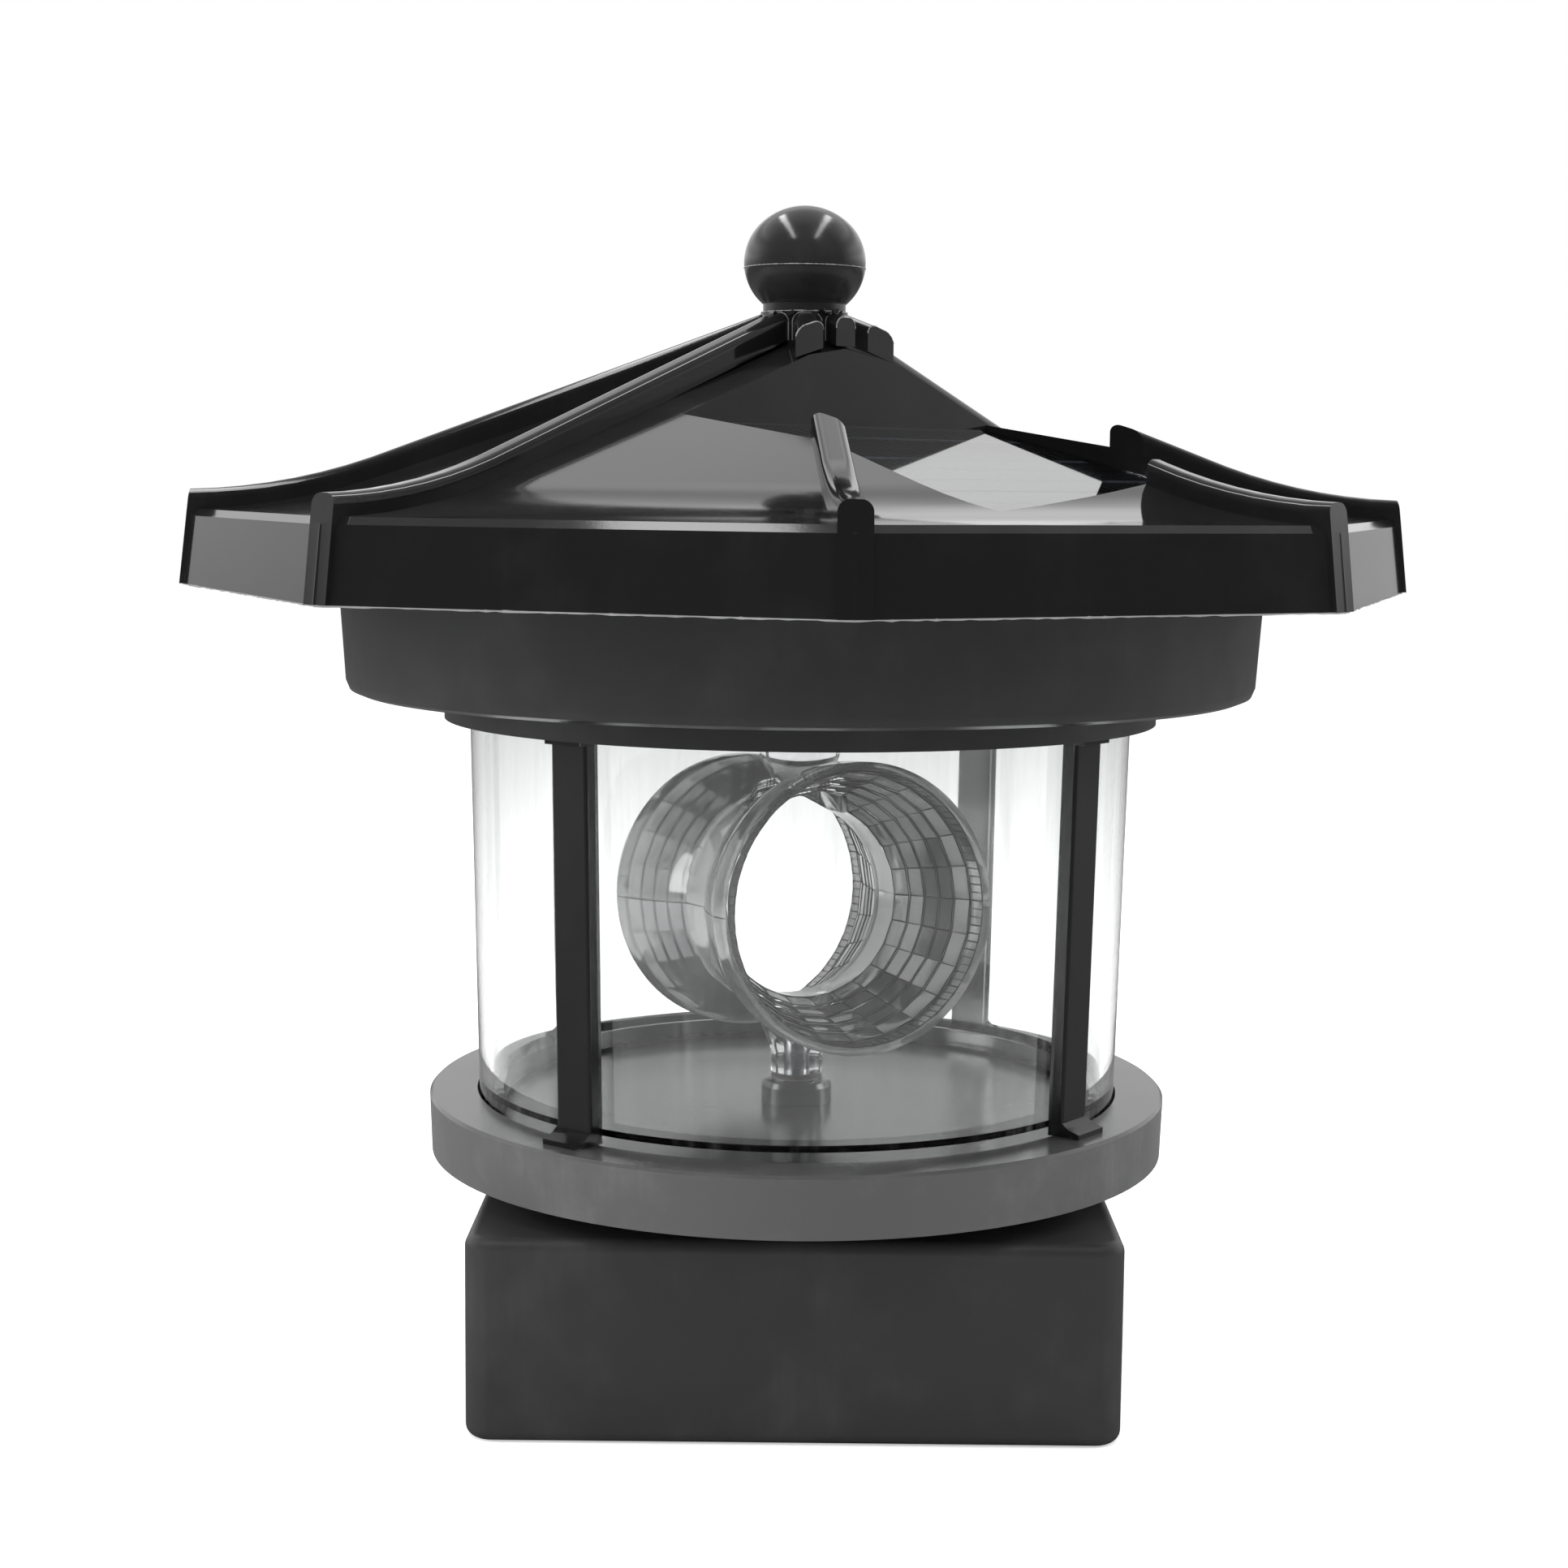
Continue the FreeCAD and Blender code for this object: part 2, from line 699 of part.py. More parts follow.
def post(azimuth, carries_lead):
    """Flat post that leans with the window, with a foot on the gallery and a tenon at each end."""
    foot_r = post_in(disc_top) + post_foot
    foot_z = disc_top + post_foot_height
    head_z = lip_z - post_head
    out_low = post_in(foot_z) + post_thick
    out_high = post_in(lip_z) + post_thick
    head_r = lip_in + tenon_inset + tenon_thick
    outline = [(post_in(disc_top), disc_top), (foot_r, disc_top), (foot_r, disc_top + post_foot_height * 0.6),
               (out_low + 0.8, foot_z), (out_low, foot_z + 0.6), (out_high, head_z), (head_r, head_z),
               (head_r, lip_z), (post_in(lip_z), lip_z)]
    body = upright(outline, post_width, 0)
    long_edges = [e for e in body.Edges if e.BoundBox.ZLength > window_height / 2
                  and e.CenterOfMass.y < -post_in(lip_z) - 0.5]
    body = body.makeFillet(post_round, long_edges)
    foot_tenon = upright(tenon_outline(well_radius, disc_top - tenon_depth, disc_top + 0.5, 0), tenon_width, 0)
    head_tenon = upright(tenon_outline(lip_in, lip_z - 0.3, lip_z + tenon_depth, 0), tenon_width, 0)
    body = joined([body, foot_tenon, head_tenon])
    if carries_lead:
        lead_r = V(lead_at.x, lead_at.y, 0).Length
        groove = rod(lead_radius + 0.1, disc_top - 5, lip_z + 5, 0, -lead_r)
        mouth = lead_radius + 0.1
        groove = groove.fuse(block(-mouth, mouth, -lead_r - 9, -lead_r, disc_top - 5, lip_z + 5))
        body = body.cut(groove)
    return turned(body, azimuth)


# ---- Cup, lamp and board ----

roof_screw_azimuths = [roof_turn + 90 * i for i in range(4)]
cup_floor = ceiling_z + cup_wall
board_z = cup_floor + board_lift
lamp_hole = lamp_radius + lamp_flange + holder_wall
board_screw_places = [(-board_screw_at, 0.0), (board_screw_at, 0.0)]


def top_cup():
    step_z = cup_z + cup_wall
    wall_in = cup_radius - cup_wall
    top_r = cup_radius + cup_draft
    turn = cup_round * (1 - math.cos(math.radians(45)))
    outline = [(lamp_hole, ceiling_z), (lip_in, ceiling_z), (lip_in, lip_z), (lip_radius, lip_z),
               (lip_radius, cup_z), (cup_radius - cup_round, cup_z), (cup_radius - turn, cup_z + turn),
               (cup_radius, cup_z + cup_round), (top_r, cup_top), (top_r - cup_wall, cup_top),
               (wall_in, step_z), (lip_radius - cup_wall, step_z), (lip_radius - cup_wall, cup_floor),
               (lamp_hole, cup_floor)]
    pieces = [lathe(outline)]
    for azimuth in roof_screw_azimuths:
        spot = around(roof_screw_at, azimuth)
        pieces.append(rod(pillar_radius, cup_z + 0.5, seat_z, spot.x, spot.y))
    for x, y in board_screw_places:
        pieces.append(rod(2.4, ceiling_z + 0.5, board_z, x, y))
    body = joined(pieces)
    cutters = []
    for azimuth in roof_screw_azimuths:
        spot = around(roof_screw_at, azimuth)
        cutters.append(rod(screw_radius + screw_gap, cup_z - 1, seat_z + 1, spot.x, spot.y))
        cutters.append(rod(screw_head_radius + screw_gap, cup_z - 1, roof_screw_seat, spot.x, spot.y))
    for x, y in board_screw_places:
        cutters.append(rod(small_screw_radius, ceiling_z + 0.6, board_z + 1, x, y))
    for azimuth in post_azimuths:
        cutters.append(upright(tenon_outline(lip_in, lip_z - 1, lip_z + tenon_depth + 0.1, 0.1),
                               tenon_width + 0.2, azimuth))
    cutters.append(rod(lead_radius + lead_gap, lip_z - 1, cup_z + 5, lead_at.x, lead_at.y))
    return without(body, cutters)


def roof_screws():
    length = seat_z - roof_screw_seat + 6
    return Part.makeCompound([screw(around(roof_screw_at, a, roof_screw_seat), Z, length)
                              for a in roof_screw_azimuths])


def lamp_holder():
    flange = lamp_radius + lamp_flange
    collar = lathe([(lamp_radius + 0.05, lip_z + 0.3), (lamp_hole - 0.8, lip_z + 0.3),
                    (lamp_hole - 0.1, lip_z + 1.0), (lamp_hole - 0.1, cup_floor), (lamp_hole + 1.4, cup_floor),
                    (lamp_hole + 1.4, cup_floor + 0.8), (flange + 0.05, cup_floor + 0.8),
                    (flange + 0.05, lip_z + 1.2), (lamp_radius + 0.05, lip_z + 1.2)])
    return collar


def led_lamp():
    base = lip_z + 1.2
    tip = base - lamp_length
    dome_z = tip + lamp_radius
    arc = Part.Arc(V(lamp_radius, 0, dome_z), V(lamp_radius * math.sin(math.radians(45)), 0,
                   dome_z - lamp_radius * math.cos(math.radians(45))), V(0, 0, tip)).toShape()
    flange = lamp_radius + lamp_flange
    corners = [V(0, 0, tip), V(0, 0, base + 1.0), V(flange, 0, base + 1.0), V(flange, 0, base),
               V(lamp_radius, 0, base), V(lamp_radius, 0, dome_z)]
    lines = [Part.LineSegment(a, b).toShape() for a, b in zip(corners, corners[1:])]
    body = Part.Face(Part.Wire(lines + [arc])).revolve(ORIGIN, Z, 360)
    legs = [rod(0.25, base + 0.5, board_z + board_thick + 0.6, x, 0) for x in (-1.27, 1.27)]
    return joined([body] + legs)


def circuit_board():
    half_x, half_y = board_size[0] / 2, board_size[1] / 2
    board = block(-half_x, half_x, -half_y, half_y, board_z, board_z + board_thick)
    cutters = [rod(small_screw_radius + 0.2, board_z - 1, board_z + 5, x, y) for x, y in board_screw_places]
    cutters += [rod(0.35, board_z - 1, board_z + 5, x, 0) for x in (-1.27, 1.27)]
    return without(board, cutters)


def control_chip():
    low = board_z + board_thick
    body = block(-9.0, -4.0, -6.0, -2.0, low + 0.2, low + 1.6)
    legs = []
    for i in range(4):
        x = -8.4 + i * 1.27
        legs.append(block(x - 0.2, x + 0.2, -6.8, -1.2, low, low + 0.45))
    return joined([body] + legs)


def boost_coil():
    low = board_z + board_thick
    core = lathe([(0.0, low), (3.2, low), (3.2, low + 0.9), (2.4, low + 0.9), (2.4, low + 3.6),
                  (3.2, low + 3.6), (3.2, low + 4.5), (0.0, low + 4.5)])
    core.translate(V(6.0, -8.0, 0))
    return core


def board_screws():
    return Part.makeCompound([screw(V(x, y, board_z + board_thick), V(0, 0, -1), board_thick + 2.2,
                                    small_screw_radius, 1.8, 1.2) for x, y in board_screw_places])


# ---- Roof ----

def roof_block(inset, low):
    """Eight-sided block under the roof's surface, or under that surface moved inwards."""
    bottom = roof_radius * flat - inset
    top = (roof_radius - roof_draft) * flat - inset
    high = eave_z - inset
    drop = inset / math.cos(math.radians(roof_slope))
    bend = V(bend_radius * flat, 0, bend_z - drop)
    fall = V(math.cos(math.radians(roof_slope)), 0, -math.sin(math.radians(roof_slope)))
    eave = V(top - eave_round, 0, high)
    peak = V(0, 0, bend.z + bend.x * -fall.z / fall.x)
    corner = [V(top, 0, high - eave_round), V(bottom, 0, low)]
    half = [Part.LineSegment(peak, bend).toShape(), tangent_arc(bend, fall, eave),
            Part.LineSegment(eave, corner[0]).toShape(),
            Part.LineSegment(corner[0], corner[1]).toShape()]
    mirrored = [e.mirror(ORIGIN, V(1, 0, 0)) for e in half]
    base = Part.LineSegment(corner[1], V(-corner[1].x, 0, low)).toShape()
    outline = Part.Wire(Part.__sortEdges__(half + mirrored + [base]))
    reach = roof_radius * 1.2
    prism = Part.Face(outline).extrude(V(0, 2 * reach, 0))
    prism.translate(V(0, -reach, 0))
    result = None
    for i in range(roof_sides // 2):
        copy = turned(prism, roof_turn + half_side + i * 2 * half_side)
        result = copy if result is None else result.common(copy)
    return result


def ridge_bead(azimuth):
    """Rounded bead that runs down a ridge and on down the corner of the skirt."""
    start = collar_radius - 1.5
    top_start = V(0, -start, bend_z + (bend_radius - start) * slope + bead_height)
    bend = V(0, -bend_radius, bend_z + bead_height)
    end_r = roof_radius - roof_draft - 0.5
    end = V(0, -end_r, eave_z + bead_height)
    middle = V(0, -(bend_radius + end_r) / 2, (bend.z + end.z) / 2 - eave_rise * 0.22)
    crest = [Part.LineSegment(top_start, bend).toShape(), Part.Arc(bend, middle, end).toShape()]
    face_r = roof_radius - 0.15
    low = [V(0, -(face_r - roof_draft), eave_z - 0.4), V(0, -face_r, roof_z),
           V(0, -(face_r - roof_wall * 0.8), roof_z), V(0, -(face_r - roof_draft - 2.0), eave_z - bead_root),
           V(0, -(bend_radius + end_r) / 2, middle.z - bead_height - bead_root * 0.8),
           V(0, -bend_radius, bend_z - bead_root), V(0, -start, top_start.z - bead_height - bead_root)]
    points = [end] + low + [top_start]
    rest = [Part.LineSegment(a, b).toShape() for a, b in zip(points, points[1:])]
    slab = Part.Face(Part.Wire(crest + rest)).extrude(V(bead_width, 0, 0))
    slab.translate(V(-bead_width / 2, 0, 0))
    rounded = []
    for edge in slab.Edges:
        box = edge.BoundBox
        if box.XLength > 0.01 or box.ZMax < eave_z + 1.0:
            continue
        point = edge.valueAt((edge.FirstParameter + edge.LastParameter) / 2)
        if point.z > eave_z + bead_height - 0.3 and edge.Length > 10 \
                and point.z > bend_z + (bend_radius + point.y) * slope + 0.2 - eave_rise * (point.y < -bend_radius):
            rounded.append(edge)
    slab = slab.makeFillet(bead_round, rounded)
    return turned(slab, azimuth)


pocket_azimuth = roof_turn + 2 * half_side
panel_rise = math.tan(math.radians(panel_slope))
panel_stack = resin_thick + cell_thick + board_thick


def panel_z(distance):
    """Height of the panel's face at a distance from the axis."""
    return roof_z + panel_low_z + (pocket_far - distance) * panel_rise


def sloped(near, far, low, high, half):
    """Slab along the panel's slope; low and high are depths measured from its face."""
    outline = [(near, panel_z(near) + low), (far, panel_z(far) + low),
               (far, panel_z(far) + high), (near, panel_z(near) + high)]
    return upright(outline, 2 * half, pocket_azimuth)


def roof_shell():
    outer = roof_block(0, roof_z)
    shell = outer.cut(roof_block(roof_wall, roof_z - 5))
    collar = rod(collar_radius, peak_z - 12, ball_z)
    tray = sloped(pocket_near - pocket_wall, pocket_far + pocket_wall, -panel_stack - pocket_wall, 40,
                  pocket_half + pocket_wall).common(outer)
    pieces = [shell, collar, tray]
    for azimuth in roof_screw_azimuths:
        spot = around(roof_screw_at, azimuth)
        pieces.append(rod(pillar_radius, seat_z, peak_z, spot.x, spot.y).common(outer))
    pieces += [ridge_bead(roof_turn + 2 * half_side * i) for i in range(roof_sides)]
    body = pieces[0].multiFuse(pieces[1:])
    cutters = [sloped(pocket_near, pocket_far, -panel_stack, 60, pocket_half)]
    cutters.append(rod(ball_spigot + 0.05, ball_z - ball_spigot_length - 0.1, ball_z + 1))
    cutters.append(rod(small_screw_radius + 0.2, 0, ball_z))
    cutters.append(rod(ball_neck_radius + 0.05, ball_z, ball_z + 9))
    for azimuth in roof_screw_azimuths:
        spot = around(roof_screw_at, azimuth)
        cutters.append(rod(screw_radius, seat_z - 1, seat_z + 7, spot.x, spot.y))
    cutters.append(rod(1.6, seat_z, peak_z, panel_lead_at.x, panel_lead_at.y))
    return without(body, cutters).removeSplitter()


panel_lead_r = 18.0
panel_lead_at = around(panel_lead_r, pocket_azimuth)


def solar_board():
    near, far, half = pocket_near + panel_gap, pocket_far - panel_gap, pocket_half - panel_gap
    return sloped(near, far, -panel_stack, -resin_thick - cell_thick, half)


def solar_cells():
    near, far = pocket_near + cell_margin, pocket_far - cell_margin
    half = pocket_half - cell_margin
    width = (far - near - cell_gap * (cell_rows - 1)) / cell_rows
    cells = []
    for i in range(cell_rows):
        start = near + i * (width + cell_gap)
        cells.append(sloped(start, start + width, -resin_thick - cell_thick, -resin_thick, half))
    return Part.makeCompound(cells)


def panel_resin():
    near, far, half = pocket_near + panel_gap, pocket_far - panel_gap, pocket_half - panel_gap
    body = sloped(near, far, -resin_thick - cell_thick, 0, half)
    return body.cut(solar_cells())


def ball_finial():
    """Flattened ball of four arcs on a short neck, with a spigot for the roof's collar."""
    side_at = ball_radius - ball_side_round
    crown = ((ball_radius ** 2 + ball_half_height ** 2 - 2 * ball_radius * ball_side_round)
             / (2 * (ball_half_height - ball_side_round)))
    crown_at = crown - ball_half_height
    join = math.atan2(crown_at, side_at)
    neck_drop = math.sqrt(crown ** 2 - ball_neck_radius ** 2) - crown_at
    centre = ball_z + ball_neck + neck_drop
    spigot_z = ball_z - ball_spigot_length

    def on_crown(turn, side):
        return V(crown * math.cos(turn), 0, centre + side * (crown * math.sin(turn) - crown_at))

    top = V(0, 0, centre + ball_half_height)
    neck_turn = math.acos(ball_neck_radius / crown)
    arcs = [Part.Arc(on_crown(neck_turn, -1), on_crown((neck_turn + join) / 2, -1), on_crown(join, -1)),
            Part.Arc(on_crown(join, -1), V(ball_radius, 0, centre), on_crown(join, 1)),
            Part.Arc(on_crown(join, 1), on_crown((math.pi / 2 + join) / 2, 1), top)]
    corners = [top, V(0, 0, spigot_z), V(ball_spigot, 0, spigot_z), V(ball_spigot, 0, ball_z),
               V(ball_neck_radius, 0, ball_z), on_crown(neck_turn, -1)]
    straight = [Part.LineSegment(p, q) for p, q in zip(corners, corners[1:])]
    outline = Part.Wire([edge.toShape() for edge in straight + arcs])
    body = Part.Face(outline).revolve(ORIGIN, Z, 360)
    return body.cut(rod(screw_radius * 0.56, spigot_z - 1, ball_z - 0.5))


def finial_screw():
    seat = peak_z - 12
    point = V(0, 0, seat)
    return screw(point, Z, 9.0, 0.7, 1.8, 1.2)


# ---- Lens ----

def frustum(radius_a, radius_b, start, end):
    wires = []
    for radius, height in ((radius_a, start), (radius_b, end)):
        corners = [V(radius * math.cos(2 * math.pi * i / lens_sectors),
                     radius * math.sin(2 * math.pi * i / lens_sectors), height)
                   for i in range(lens_sectors)]
        wires.append(Part.makePolygon(corners + corners[:1]))
    return Part.makeLoft(wires, True, True)


def lens_flare(position):
    """Inner radius of a bell at a share of the way from the waist to the rim band."""
    last = lens_radius - lens_rim_wall - 0.2
    return lens_bore + 0.2 + (last - lens_bore - 0.2) * position ** 0.85


def lens_rows_cut():
    """Stepped rows of flat facets that line one bell."""
    begin = lens_waist_half
    end = lens_half_length - lens_rim_band
    depth = (end - begin) / lens_rows
    rows = []
    for i in range(lens_rows):
        low = begin + i * depth
        near = lens_flare(i / lens_rows)
        far = lens_flare((i + 1) / lens_rows) - lens_step * (i < lens_rows - 1)
        rows.append(frustum(near, far, low, low + depth))
    rows.append(rod(lens_radius - lens_rim_wall, end, lens_half_length + 1))
    return rows


def rotor_lens():
    band_z = lens_half_length - lens_rim_band - 0.6
    spool_edges = []
    waist = V(lens_waist, 0, lens_waist_half)
    band = V(lens_radius, 0, band_z)
    middle = V((lens_waist + lens_radius) / 2 + 0.35, 0, (lens_waist_half + band_z) / 2)
    half = [V(lens_radius, 0, band_z), V(lens_radius, 0, lens_half_length), V(0, 0, lens_half_length)]
    spool_edges.append(Part.LineSegment(V(lens_waist, 0, 0), waist).toShape())
    spool_edges.append(Part.Arc(waist, middle, band).toShape())
    spool_edges += [Part.LineSegment(a, b).toShape() for a, b in zip(half, half[1:])]
    mirrored = [e.mirror(ORIGIN, Z) for e in spool_edges]
    outline = Part.Wire(Part.__sortEdges__(spool_edges + mirrored
                        + [Part.LineSegment(V(0, 0, lens_half_length), V(0, 0, -lens_half_length)).toShape()]))
    spool = Part.Face(outline).revolve(ORIGIN, Z, 360)
    cavity = lens_rows_cut()
    far_side = []
    for row in cavity:
        copy = row.copy()
        copy.rotate(ORIGIN, V(1, 0, 0), 180)
        far_side.append(copy)
    cutters = cavity + far_side + [rod(lens_bore, -lens_half_length, lens_half_length)]

    def placed(shape):
        """Lay the spool level, tip its front end up, turn it and lift it to its height."""
        shape.rotate(ORIGIN, V(1, 0, 0), 90 - lens_lean)
        shape.rotate(ORIGIN, Z, lens_yaw)
        shape.translate(V(0, 0, lens_z))
        return shape

    spool = placed(spool)
    hollow = placed(Part.makeCompound(cutters))
    neck_top = neck_z + lens_neck_length
    stem = lathe([(0.0, neck_z), (lens_neck_radius, neck_z), (lens_neck_radius, neck_top),
                  (lens_stem_radius, lens_z - lens_waist + 0.6), (0.0, lens_z - lens_waist + 0.6)])
    body = spool.fuse(stem)
    body = body.cut(hollow)
    cutters = [rod(lamp_radius + 1.0, lens_z + 2, lens_z + 30), rod(shaft_radius, 0, shaft_top)]
    return without(body, cutters)


def drive_shaft():
    return rod(shaft_radius, lower_bush_low + 0.5, shaft_top)


# ---- Cell, contacts and switch ----

def battery_cell():
    body = Part.makeCylinder(cell_radius, cell_length, V(-cell_length / 2, cell_y, cell_z), V(1, 0, 0))
    body = body.makeFillet(0.6, [e for e in body.Edges if e.Closed])
    nub = Part.makeCylinder(cell_nub_radius, cell_nub_length + 0.5,
                            V(cell_length / 2 - 0.5, cell_y, cell_z), V(1, 0, 0))
    return body.fuse(nub)


def contact_plates():
    plates = []
    for x in (contact_x, spring_end):
        plate = block(x - contact_thick / 2, x + contact_thick / 2, cell_y - 5.5, cell_y + 5.5,
                      case_wall, seam_z + 2.5)
        tab = block(x - contact_thick / 2, x + contact_thick / 2, cell_y + 5.0, cell_y + 9.0,
                    seam_z + 0.5, seam_z + 2.5)
        plates.append(plate.fuse(tab))
    return Part.makeCompound(plates)


def battery_spring():
    length = spring_length - contact_thick / 2 - 2 * spring_wire
    helix = Part.makeHelix(length / spring_turns, length, spring_radius)
    section = Part.Wire([Part.makeCircle(spring_wire, V(spring_radius, 0, 0), V(0, 1, 0))])
    coil = Part.Wire(helix).makePipeShell([section], True, True)
    coil.rotate(ORIGIN, V(0, 1, 0), 90)
    coil.translate(V(spring_end + contact_thick / 2 + spring_wire, cell_y, cell_z))
    return coil


def switch_body():
    sx, sy = switch_at
    low = case_wall + switch_recess
    dx, dy, dz = switch_size
    body = block(sx - dx / 2, sx + dx / 2, sy - dy / 2, sy + dy / 2, low, low + dz)
    room_x = (knob_size[0] + switch_travel) / 2 + 0.7
    room = block(sx - room_x, sx + room_x, sy - dy / 2 + 0.9, sy + dy / 2 - 0.9, low - 1, low + dz - 1.4)
    return body.cut(room)


def switch_slider():
    sx, sy = switch_at
    start = sx - switch_travel / 2
    half_x, half_y = knob_size[0] / 2, knob_size[1] / 2
    low = case_wall + switch_recess
    stem = block(start - half_x, start + half_x, sy - half_y, sy + half_y, 0.3, low + 0.6)
    head = block(start - half_x - 0.4, start + half_x + 0.4, sy - half_y - 0.4, sy + half_y + 0.4,
                 low + 0.2, low + 2.6)
    ribs = [block(start - half_x + 0.6 + i * 0.8, start - half_x + 0.9 + i * 0.8, sy - half_y, sy + half_y,
                  0.3 - 1, 0.55) for i in range(3)]
    return without(stem.fuse(head), ribs)


# ---- Leads ----

def main_lead():
    """From the board in the cup, down the groove of the back right post, to the cell's contact."""
    top = board_z + board_thick
    over = top + 3.5
    low = plate_low - 1.6
    tab_z = seam_z + 1.5
    points = [V(9, 9, top), V(9, 9, over), V(lead_at.x, lead_at.y, over),
              V(lead_at.x, lead_at.y, disc_under - 0.8), V(entry_at.x, entry_at.y, case_top + 0.8),
              V(entry_at.x, entry_at.y, low), V(contact_x, cell_y + 25, tab_z), V(contact_x, cell_y + 9, tab_z)]
    return lead(points, lead_radius, "main_lead", lead_bend)


def panel_lead():
    top = board_z + board_thick
    foot = V(13.6, -9.6, top)
    spot = panel_lead_at
    high = panel_z(panel_lead_r + lead_radius) - panel_stack
    points = [foot, V(foot.x, foot.y, top + 6), V(spot.x, spot.y, high - 7), V(spot.x, spot.y, high)]
    return lead(points, lead_radius, "panel_lead")


def motor_lead():
    x, y = motor_at
    tag_y = y - motor_radius * 0.86 - 1.2
    z = motor_low + 1.9 + lead_radius
    end_x = spring_end + contact_thick / 2 + lead_radius
    points = [V(x - 4.0, tag_y, z), V(x - 5.5, 2.0, z + 1.5), V(end_x, -4.0, seam_z + 1.5),
              V(end_x, cell_y + 8.5, seam_z + 1.5)]
    return lead(points, lead_radius, "motor_lead", lead_bend * 2)


def switch_lead():
    sx, sy = switch_at
    x, y = motor_at
    tag_y = y - motor_radius * 0.86 - 1.2
    z = motor_low + 1.9 + lead_radius
    side_x = sx - switch_size[0] / 2
    points = [V(x + 4.0, tag_y, z), V(x + 4.0, 4.0, z), V(side_x - 8.0, sy - 1.0, z), V(side_x, sy - 1.0, z)]
    return lead(points, lead_radius, "switch_lead", lead_bend)


keep("lower_cover", lower_cover())
keep("upper_case", upper_case())
keep("case_screws", case_screws())
keep("battery_cell", battery_cell())
keep("battery_spring", battery_spring())
keep("contact_plates", contact_plates())
keep("switch_body", switch_body())
keep("switch_slider", switch_slider())
keep("gear_plate", gear_plate())
keep("plate_screws", plate_screws())
keep("motor_can", motor_can())
keep("motor_tags", motor_tags())
keep("motor_screws", motor_screws())
keep("motor_shaft", motor_shaft())
keep("motor_pinion", motor_pinion())
keep("first_gear", compound_gear(first_at, level_one, first_wheel_phase, first_pinion_phase,
                                 level_two + gear_thick))
keep("second_gear", compound_gear(second_at, level_two, second_wheel_phase, second_pinion_phase,
                                  level_three + gear_thick))
keep("gear_pins", gear_pins())
keep("output_gear", output_gear())
keep("lower_bush", flanged_bush(lower_bush_low, plate_top + bush_flange_thick,
                                shaft_radius + running_gap, 0.4))
keep("upper_bush", flanged_bush(disc_under - 1.2, boss_top + bush_flange_thick,
                                shaft_radius + running_gap, 0))
keep("drive_shaft", drive_shaft())
keep("gallery_disc", gallery_disc())
keep("disc_screws", disc_screws())
keep("window_tube", window_tube())
keep("lower_seal", seal(window_radius, window_wall + window_foot, floor_z))
keep("upper_seal", seal(window_radius + window_draft, window_wall, window_high))
for index, azimuth in enumerate(post_azimuths):
    keep(post_names[index], post(azimuth, index == 1))
keep("top_cup", top_cup())
keep("roof_screws", roof_screws())
keep("lamp_holder", lamp_holder())
keep("led_lamp", led_lamp())
keep("circuit_board", circuit_board())
keep("control_chip", control_chip())
keep("boost_coil", boost_coil())
keep("board_screws", board_screws())
keep("roof_shell", roof_shell())
keep("solar_board", solar_board())
keep("solar_cells", solar_cells())
keep("panel_resin", panel_resin())
keep("ball_finial", ball_finial())
keep("finial_screw", finial_screw())
keep("rotor_lens", rotor_lens())
keep("main_lead", main_lead())
keep("panel_lead", panel_lead())
keep("motor_lead", motor_lead())
keep("switch_lead", switch_lead())

os.makedirs("parts", exist_ok=True)
for name, shape in part_files.items():
    if not shape.isValid():
        print("not valid:", name)
    shape.exportStep("parts/" + name + ".step")
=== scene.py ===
import bpy, math
from mathutils import Matrix, Vector


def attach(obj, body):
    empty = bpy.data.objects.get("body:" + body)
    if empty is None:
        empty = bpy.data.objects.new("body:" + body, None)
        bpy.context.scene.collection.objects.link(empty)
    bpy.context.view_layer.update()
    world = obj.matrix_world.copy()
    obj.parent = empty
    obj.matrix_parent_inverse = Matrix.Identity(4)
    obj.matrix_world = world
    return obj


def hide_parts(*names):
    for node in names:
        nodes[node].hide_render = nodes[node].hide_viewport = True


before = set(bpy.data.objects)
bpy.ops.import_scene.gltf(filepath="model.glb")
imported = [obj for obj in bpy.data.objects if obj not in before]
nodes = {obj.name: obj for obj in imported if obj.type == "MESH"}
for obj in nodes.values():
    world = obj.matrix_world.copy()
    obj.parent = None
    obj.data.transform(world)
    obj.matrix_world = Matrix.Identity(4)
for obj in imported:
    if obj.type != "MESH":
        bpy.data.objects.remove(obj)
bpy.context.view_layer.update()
mm = 0.001  # the part is drawn in millimetres, Blender works in metres
print("frame loaded:", len(nodes), "CAD nodes")


def hexColor(code):  # sRGB hex to the linear colour a shader takes
    parts = [int(code[i:i + 2], 16) / 255 for i in (1, 3, 5)]
    return tuple(c / 12.92 if c <= 0.04045 else ((c + 0.055) / 1.055) ** 2.4 for c in parts) + (1.0,)


def addNode(tree, kind, settings={}, links={}):  # one node with its settings and incoming links
    node = tree.nodes.new(kind)
    for key, value in settings.items():
        if isinstance(key, int) or key in node.inputs:
            node.inputs[key].default_value = value
        else:
            setattr(node, key, value)
    for key, source in links.items():
        tree.links.new(source, node.inputs[key])
    return node


def startMaterial(name):
    material = bpy.data.materials.new(name)
    material.use_nodes = True
    tree = material.node_tree
    tree.nodes.clear()
    shader = addNode(tree, "ShaderNodeBsdfPrincipled")
    addNode(tree, "ShaderNodeOutputMaterial", {}, {"Surface": shader.outputs["BSDF"]})
    coords = addNode(tree, "ShaderNodeTexCoord").outputs["Object"]
    return material, tree, shader, coords


